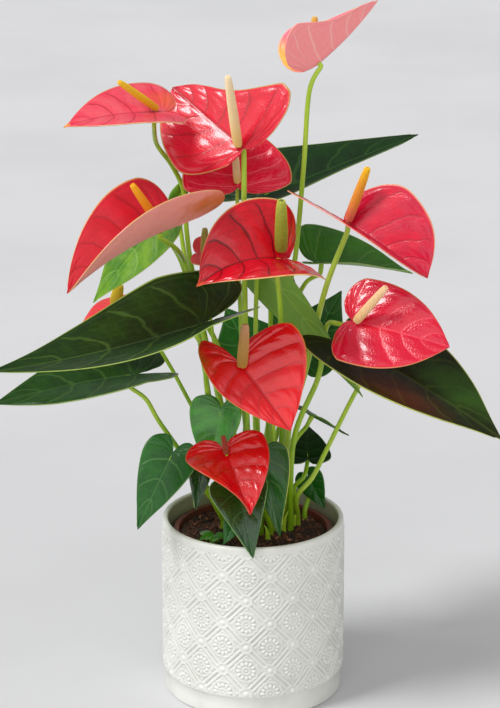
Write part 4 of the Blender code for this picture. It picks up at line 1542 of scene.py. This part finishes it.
@dataclass
class CoverPot:
    """The glazed cover pot with its moulded lattice of diamonds, bosses and rosettes."""

    across: int = 12
    diamond_height: float = 39.6 * MM
    crossing_height: float = 100.8 * MM
    crossing_aside: float = -5.4 * MM
    depth: float = 1.25 * MM
    sunk: float = 0.3  # share of the moulding's depth that lies below the plain wall
    plain: float = 0.25  # the glaze's height where the wall isn't moulded
    plate: float = 0.35
    plate_reach: float = 5.4
    petals: int = 12
    petal_ring: float = 6.2
    scallop_ring: float = 8.7
    steps: int = 480
    rows: int = 158
    finish: GlazeFinish = field(default_factory=GlazeFinish)

    def ridge(self, distance: np.ndarray, middle: float, half: float) -> np.ndarray:
        """Return a soft raised line at a distance, in millimetres."""
        return np.exp(-((distance - middle) / half) ** 2)

    def relief(self, around: np.ndarray, height: np.ndarray) -> np.ndarray:
        """Return the moulding's height, 0 to 1, over the wall.

        Args:
            around: Distance round the pot from the front, in metres.
            height: Height above the base, in metres.

        Returns:
            The relief at each point.
        """
        width = pi * POT_DIAMETER / self.across
        x = (around - self.crossing_aside) / width
        z = (height - self.crossing_height) / self.diamond_height
        a, b = x + z, x - z
        slope = hypot(1 / width, 1 / self.diamond_height) * MM
        near_a = np.abs(a - np.round(a)) / slope
        near_b = np.abs(b - np.round(b)) / slope
        near = np.minimum(near_a, near_b)
        lines = 0.85 * np.maximum(self.ridge(near_a, 1.9, 0.8), self.ridge(near_b, 1.9, 0.8))
        inner = 0.6 * self.ridge(near, 4.9, 0.6)
        cross_x = (x - (np.round(a) + np.round(b)) / 2) * width / MM
        cross_z = (z - (np.round(a) - np.round(b)) / 2) * self.diamond_height / MM
        octagon = np.maximum(np.maximum(np.abs(cross_x), np.abs(cross_z)),
                             (np.abs(cross_x) + np.abs(cross_z)) * 0.7071)
        plate = np.clip((self.plate_reach - octagon) / 0.7, 0, 1)
        boss = np.clip(1.15 - (np.hypot(cross_x, cross_z) / 2.3) ** 2, 0, 1)
        rim = self.ridge(octagon, 4.7, 0.6)
        mid_a, mid_b = np.floor(a) + 0.5, np.floor(b) + 0.5
        rose_x = (x - (mid_a + mid_b) / 2) * width / MM
        rose_z = (z - (mid_a - mid_b) / 2) * self.diamond_height / MM
        r = np.hypot(rose_x, rose_z)
        turn = np.arctan2(rose_z, rose_x)
        aside = r * np.sin(np.abs((turn * self.petals / (2 * pi) + 0.5) % 1 - 0.5) * 2 * pi / self.petals)
        petals = np.clip(1.25 - np.hypot((r - self.petal_ring) / 2.1, aside / 1.25) ** 2, 0, 1)
        scallop = self.scallop_ring + 1.0 * np.abs(np.cos(self.petals // 2 * turn))
        rose = np.maximum(petals, 0.85 * self.ridge(r, scallop, 0.65))
        rose = np.maximum(rose, 0.9 * self.ridge(r, 2.9, 0.7))
        rose = np.maximum(rose, 0.8 * np.clip(1 - (r / 1.5) ** 2, 0, 1))
        dot_x = np.hypot(np.abs(rose_x) - 12.2, rose_z)
        dot_z = np.hypot(rose_x, np.abs(rose_z) - 12.6)
        dots = np.clip(1 - (np.minimum(dot_x, dot_z) / 1.3) ** 2, 0, 1) * 0.8
        field_of = np.maximum.reduce([rose, dots, inner])
        outside = np.maximum(field_of, lines)
        return outside * (1 - plate) + np.maximum.reduce([np.full_like(rim, self.plate), rim, boss]) * plate

    def build(self) -> None:
        """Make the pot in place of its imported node."""
        outer = POT_DIAMETER / 2
        foot = outer - FOOT_INSET
        lip = POT_WALL / 2
        wall_low = FOOT_HEIGHT + FOOT_INSET
        wall_high = POT_HEIGHT - lip
        turns = np.radians(np.linspace(0, 90, 5))
        heel = [(foot - FOOT_EDGE * (1 - sin(t)), FOOT_EDGE * (1 - cos(t))) for t in turns]
        low = [(0, 0), (outer * 0.5, 0), *heel, (foot, FOOT_HEIGHT * 0.5), (foot, FOOT_HEIGHT - 0.3 * MM),
               (foot + 0.3 * MM, FOOT_HEIGHT + 0.1 * MM)]
        wall = [(outer, z) for z in np.linspace(wall_low, wall_high, self.rows)]
        over = np.radians(np.linspace(0, 180, 13))[1:]
        high = [(outer - lip + lip * cos(t), wall_high + lip * sin(t)) for t in over]
        inner = outer - POT_WALL
        high += [(inner, z) for z in np.linspace(wall_high, POT_FLOOR + 4 * MM, 10)[1:]]
        high += [(inner - 1 * MM, POT_FLOOR + 1.2 * MM), (inner - 4 * MM, POT_FLOOR), (0, POT_FLOOR)]
        profile = np.array(low + wall + high)
        first = len(low)
        radii = np.repeat(profile[:, :1], self.steps, 1)
        angles = np.arange(self.steps) * 2 * pi / self.steps
        angles = np.where(angles > pi, angles - 2 * pi, angles)
        heights = profile[first:first + self.rows, 1]
        raised = self.relief(np.broadcast_to(angles * outer, (self.rows, self.steps)), heights[:, None])
        fade = np.clip((heights - wall_low) / (1.2 * MM), 0, 1)
        fade = fade * np.clip((wall_high - 3.5 * MM - heights) / (1.5 * MM), 0, 1)
        raised = raised * fade[:, None]
        radii[first:first + self.rows] += (raised - self.sunk) * self.depth * fade[:, None]
        pot = lathe("cover_pot_glazed", radii, profile[:, 1:], self.steps)
        height = np.full(radii.shape, self.plain)
        height[first:first + self.rows] = np.where(fade[:, None] > 0, raised, self.plain)
        # Mask of the pot's inside, where the glaze gets painted shade.
        inside_shade = np.zeros(radii.shape)
        inside_shade[first + self.rows + 8:] = 1
        store(pot, "relief", np.stack([height, inside_shade, inside_shade], -1).reshape(-1, 3))
        weld(pot, outwards=True)
        pot.data.materials.append(self.finish.material("glaze"))
        show(pot, slot_of("cover_pot"), "cover_pot")


@dataclass(frozen=True)
class Litter:
    """One kind of chip on the soil.

    density counts chips on a square metre, smallest and largest are half sizes in
    millimetres, tilt is the most that a chip leans in radians, and spot and reach are the
    patch's middle from the crown and its radius. Without a reach it covers all the soil.
    """

    name: str
    density: float
    seed: int
    smallest: Point
    largest: Point
    tilt: float
    finish: GroundFinish
    spot: Pair = (0, 0)
    reach: Optional[float] = None


BARK = GroundFinish(tone(56, 30, 20), tone(128, 74, 48))
PALE_BARK = GroundFinish(tone(120, 72, 48), tone(186, 130, 92))
MIX = GroundFinish(tone(34, 22, 16), tone(78, 50, 34), 180)
MOSS = GroundFinish(tone(52, 84, 24), tone(118, 150, 50), 500)
LITTER = (
    Litter("bark_dark", 26000.0, 3, (1.8, 1.0, 0.6), (5.6, 2.6, 1.5), 0.6, BARK),
    Litter("bark_pale", 11000.0, 8, (1.2, 0.6, 0.4), (4.4, 1.6, 1.0), 0.8, PALE_BARK),
    Litter("moss_front", 330000.0, 5, (0.35, 0.35, 1.4), (0.6, 0.6, 3.4), 0.9, MOSS, (-34, -30), 11 * MM),
    Litter("moss_right", 400000.0, 6, (0.35, 0.35, 1.0), (0.6, 0.6, 2.0), 0.6, MOSS, (14, -46), 7 * MM),
)


@dataclass
class Ground:
    """The potting mix: a lumpy top with bark chips and moss."""

    lump: float = 1.6 * MM
    steps: int = 180
    rings: int = 46
    taper: float = 0.84
    clear: float = 0.4 * MM
    margin: float = 3.5 * MM

    def build(self) -> None:
        """Make the mix and what lies on it, and dress the nursery pot."""
        low, high = (np.array(corner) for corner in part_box("potting_mix"))
        top = high[0] - self.clear
        bottom = low[2]
        rings = np.sqrt(np.linspace(0, 1, self.rings))
        radii = np.concatenate([rings * top, [top * 0.97, top * self.taper, 0]])
        heights = np.concatenate([np.full(self.rings, SOIL_TOP), [SOIL_TOP - 6 * MM, bottom, bottom]])
        soil = lathe("potting_mix_top", radii[::-1, None], heights[::-1, None], self.steps)
        weld(soil, outwards=True)
        for vert in soil.data.vertices:
            if vert.co.z > SOIL_TOP - MM:
                vert.co.z += self.height_at(vert.co.x, vert.co.y)
        soil.data.materials.append(MIX.material("potting_mix_soil"))
        show(soil, slot_of("potting_mix"), "potting_mix")
        tree = ScatterTree()
        for litter in LITTER:
            self.scatter(tree, soil, litter, high[0] - self.margin)
        pot = frame["nodes"]["nursery_pot"]
        pot.data.materials.clear()
        pot.data.materials.append(PlasticFinish().material("nursery_plastic"))

    def height_at(self, x: float, y: float) -> float:
        """Return how far the soil stands above its level at a place."""
        waves = (sin(x * 310 + 1.3) * cos(y * 270) + 0.7 * sin(x * 620 - y * 540 + 0.4)
                 + 0.4 * cos(x * 1300 + y * 900))
        return float(self.lump * 0.5 * waves - 0.8 * MM)

    def scatter(self, tree: ScatterTree, soil: bpy.types.Object, litter: Litter, widest: float) -> None:
        """Scatter one kind of chip over the soil.

        Args:
            tree: The scattering tree.
            soil: The ground.
            litter: The kind of chip.
            widest: The radius of the soil that may be covered.
        """
        carrier = bpy.data.objects.new(litter.name + "_ground", soil.data.copy())
        bpy.context.scene.collection.objects.link(carrier)
        smallest, largest = (tuple(part * MM for part in size) for size in (litter.smallest, litter.largest))
        piece = tree.run(litter.name, carrier, {
            "Density": litter.density, "Seed": litter.seed, "Smallest": smallest, "Largest": largest,
            "Tilt": litter.tilt, "Middle": tuple(place((*litter.spot, 0))),
            "Reach": litter.reach or widest, "Finish": litter.finish.material(litter.name),
        })
        show(piece, slot_of("potting_mix"))


@dataclass
class Seedlings:
    """Small shoots on the soil: seedling leaves and pointed sheaths beside the stems.

    A shoot is its place, the way it points in degrees and its length. A sheath is its
    place, how far it leans and how high it rises.
    """

    stalks: Stalks
    shoots: tuple[tuple[float, ...], ...] = (
        (-33, -29, 200, 11), (-28, -26, 320, 9), (-37, -24, 120, 10), (-30, -33, 250, 8),
    )
    sheaths: tuple[tuple[float, ...], ...] = (
        (24, 2, 4, 17), (32, 13, 5, 13), (12, -16, -3, 12), (-8, -2, -4, 15),
    )
    shoot_radius: float = 0.7 * MM
    sheath_radius: float = 2.6 * MM
    sheath_tip: float = 0.12

    def build(self) -> None:
        """Make the shoots."""
        for number, (x, y, turn, size) in enumerate(self.shoots, 1):
            way = np.array((cos(radians(turn)), sin(radians(turn))))
            plan = Leaf(
                attach=(x, y, 7), tip=(*(np.array((x, y)) + way * size), 5.5), face=(0, -2, 9),
                width=size * 0.9, foot=(x - way[0] * 2, y - way[1] * 2), route=[], fold=(12, 12), droop=20,
                finish=Skin.BRIGHT_LEAF, quilt=0.1, ripple=0.2,
            )
            blade = Blade(plan, LEAF_OUTLINE, number)
            show(blade.build(f"seedling_{number}_leaf"), slot_of("leaf_11"))
            end, _ = blade.seat()
            foot = place((*plan.foot, -3))
            points = smooth_points([foot, (foot + end) / 2 + (0, 0, MM), end], np.linspace(0, 1, 9))
            stalk = self.stalks.build(f"seedling_{number}_stalk", points, self.shoot_radius, PALE_STALK)
            show(stalk, slot_of("leaf_11"))
        for number, (x, y, lean, rise) in enumerate(self.sheaths, 1):
            corners = [
                place((x, y, -4)), place((x + lean * 0.3, y - 1, rise * 0.5)), place((x + lean, y - 2, rise)),
            ]
            points = smooth_points(corners, np.linspace(0, 1, 13))
            sheath = self.stalks.build(
                f"sheath_{number}", points, self.sheath_radius, PALE_STALK, 1.0, self.sheath_tip,
            )
            show(sheath, slot_of("flower_stem_01"))


@dataclass
class Studio:
    """A pale floor, soft lights and the camera."""

    lens: float = 139.83
    eye: Point = (-0.0024, -2.048, 0.948)
    pitch: float = 18.07
    floor: Colour = tone(214, 214, 216)
    floor_reach: float = 14.0
    sky: float = 0.42
    lamps: tuple[tuple[str, Point, float, float], ...] = (
        ("key", (-0.5, -0.25, 0.83), 1.9, 16),
        ("fill", (0.1, -0.9, 0.35), 1.0, 70),
        ("side", (-0.9, -0.4, 0.3), 0.5, 50),
    )

    def build(self) -> None:
        """Set up the studio."""
        self.lay_floor()
        for lamp in self.lamps:
            self.lamp(*lamp)
        world = bpy.data.worlds.new("studio")
        world.use_nodes = True
        light = world.node_tree.nodes["Background"].inputs
        light["Color"].default_value = (1, 1, 1, 1)
        light["Strength"].default_value = self.sky
        bpy.context.scene.world = world
        camera = bpy.data.objects.new("camera", bpy.data.cameras.new("camera"))
        camera.data.lens = self.lens
        camera.data.clip_end = 20
        camera.location = self.eye
        camera.rotation_euler = (radians(90 - self.pitch), 0, 0)
        bpy.context.scene.collection.objects.link(camera)
        bpy.context.scene.camera = camera
        bpy.context.scene.view_settings.view_transform = "Standard"

    def lay_floor(self) -> None:
        """Make the plain pale floor."""
        reach = self.floor_reach
        corners = np.array([(-reach, -reach, 0), (reach, -reach, 0), (reach, reach, 0), (-reach, reach, 0)])
        floor = mesh_object("floor", corners, [(0, 1, 2, 3)])
        paint = Paint("floor", 0.8)
        cloud = paint.noise(2.2, 4)
        soft = paint.mix(self.floor, tuple(level * 0.93 for level in self.floor), cloud.step(0.35, 0.7))
        floor.data.materials.append(paint.finish(soft))

    def lamp(self, name: str, way: Point, strength: float, softness: float) -> None:
        """Hang a soft lamp far away.

        Args:
            name: The lamp's name.
            way: The way from the plant to the lamp.
            strength: Its strength.
            softness: How wide it looks from the plant, in degrees.
        """
        data = bpy.data.lights.new(name, "SUN")
        data.energy = strength
        data.angle = radians(softness)
        lamp = bpy.data.objects.new(name, data)
        lamp.rotation_euler = Vector(way).to_track_quat("Z", "Y").to_euler()
        bpy.context.scene.collection.objects.link(lamp)


def main() -> None:
    """Build the studio, the pots and the plant."""
    logging.basicConfig(level=logging.INFO, format="%(message)s")
    Studio().build()
    stalks = Stalks()
    CoverPot().build()
    Ground().build()
    Foliage(stalks).build()
    Flowers(stalks).build()
    Seedlings(stalks).build()


if __name__ == "__main__":
    main()
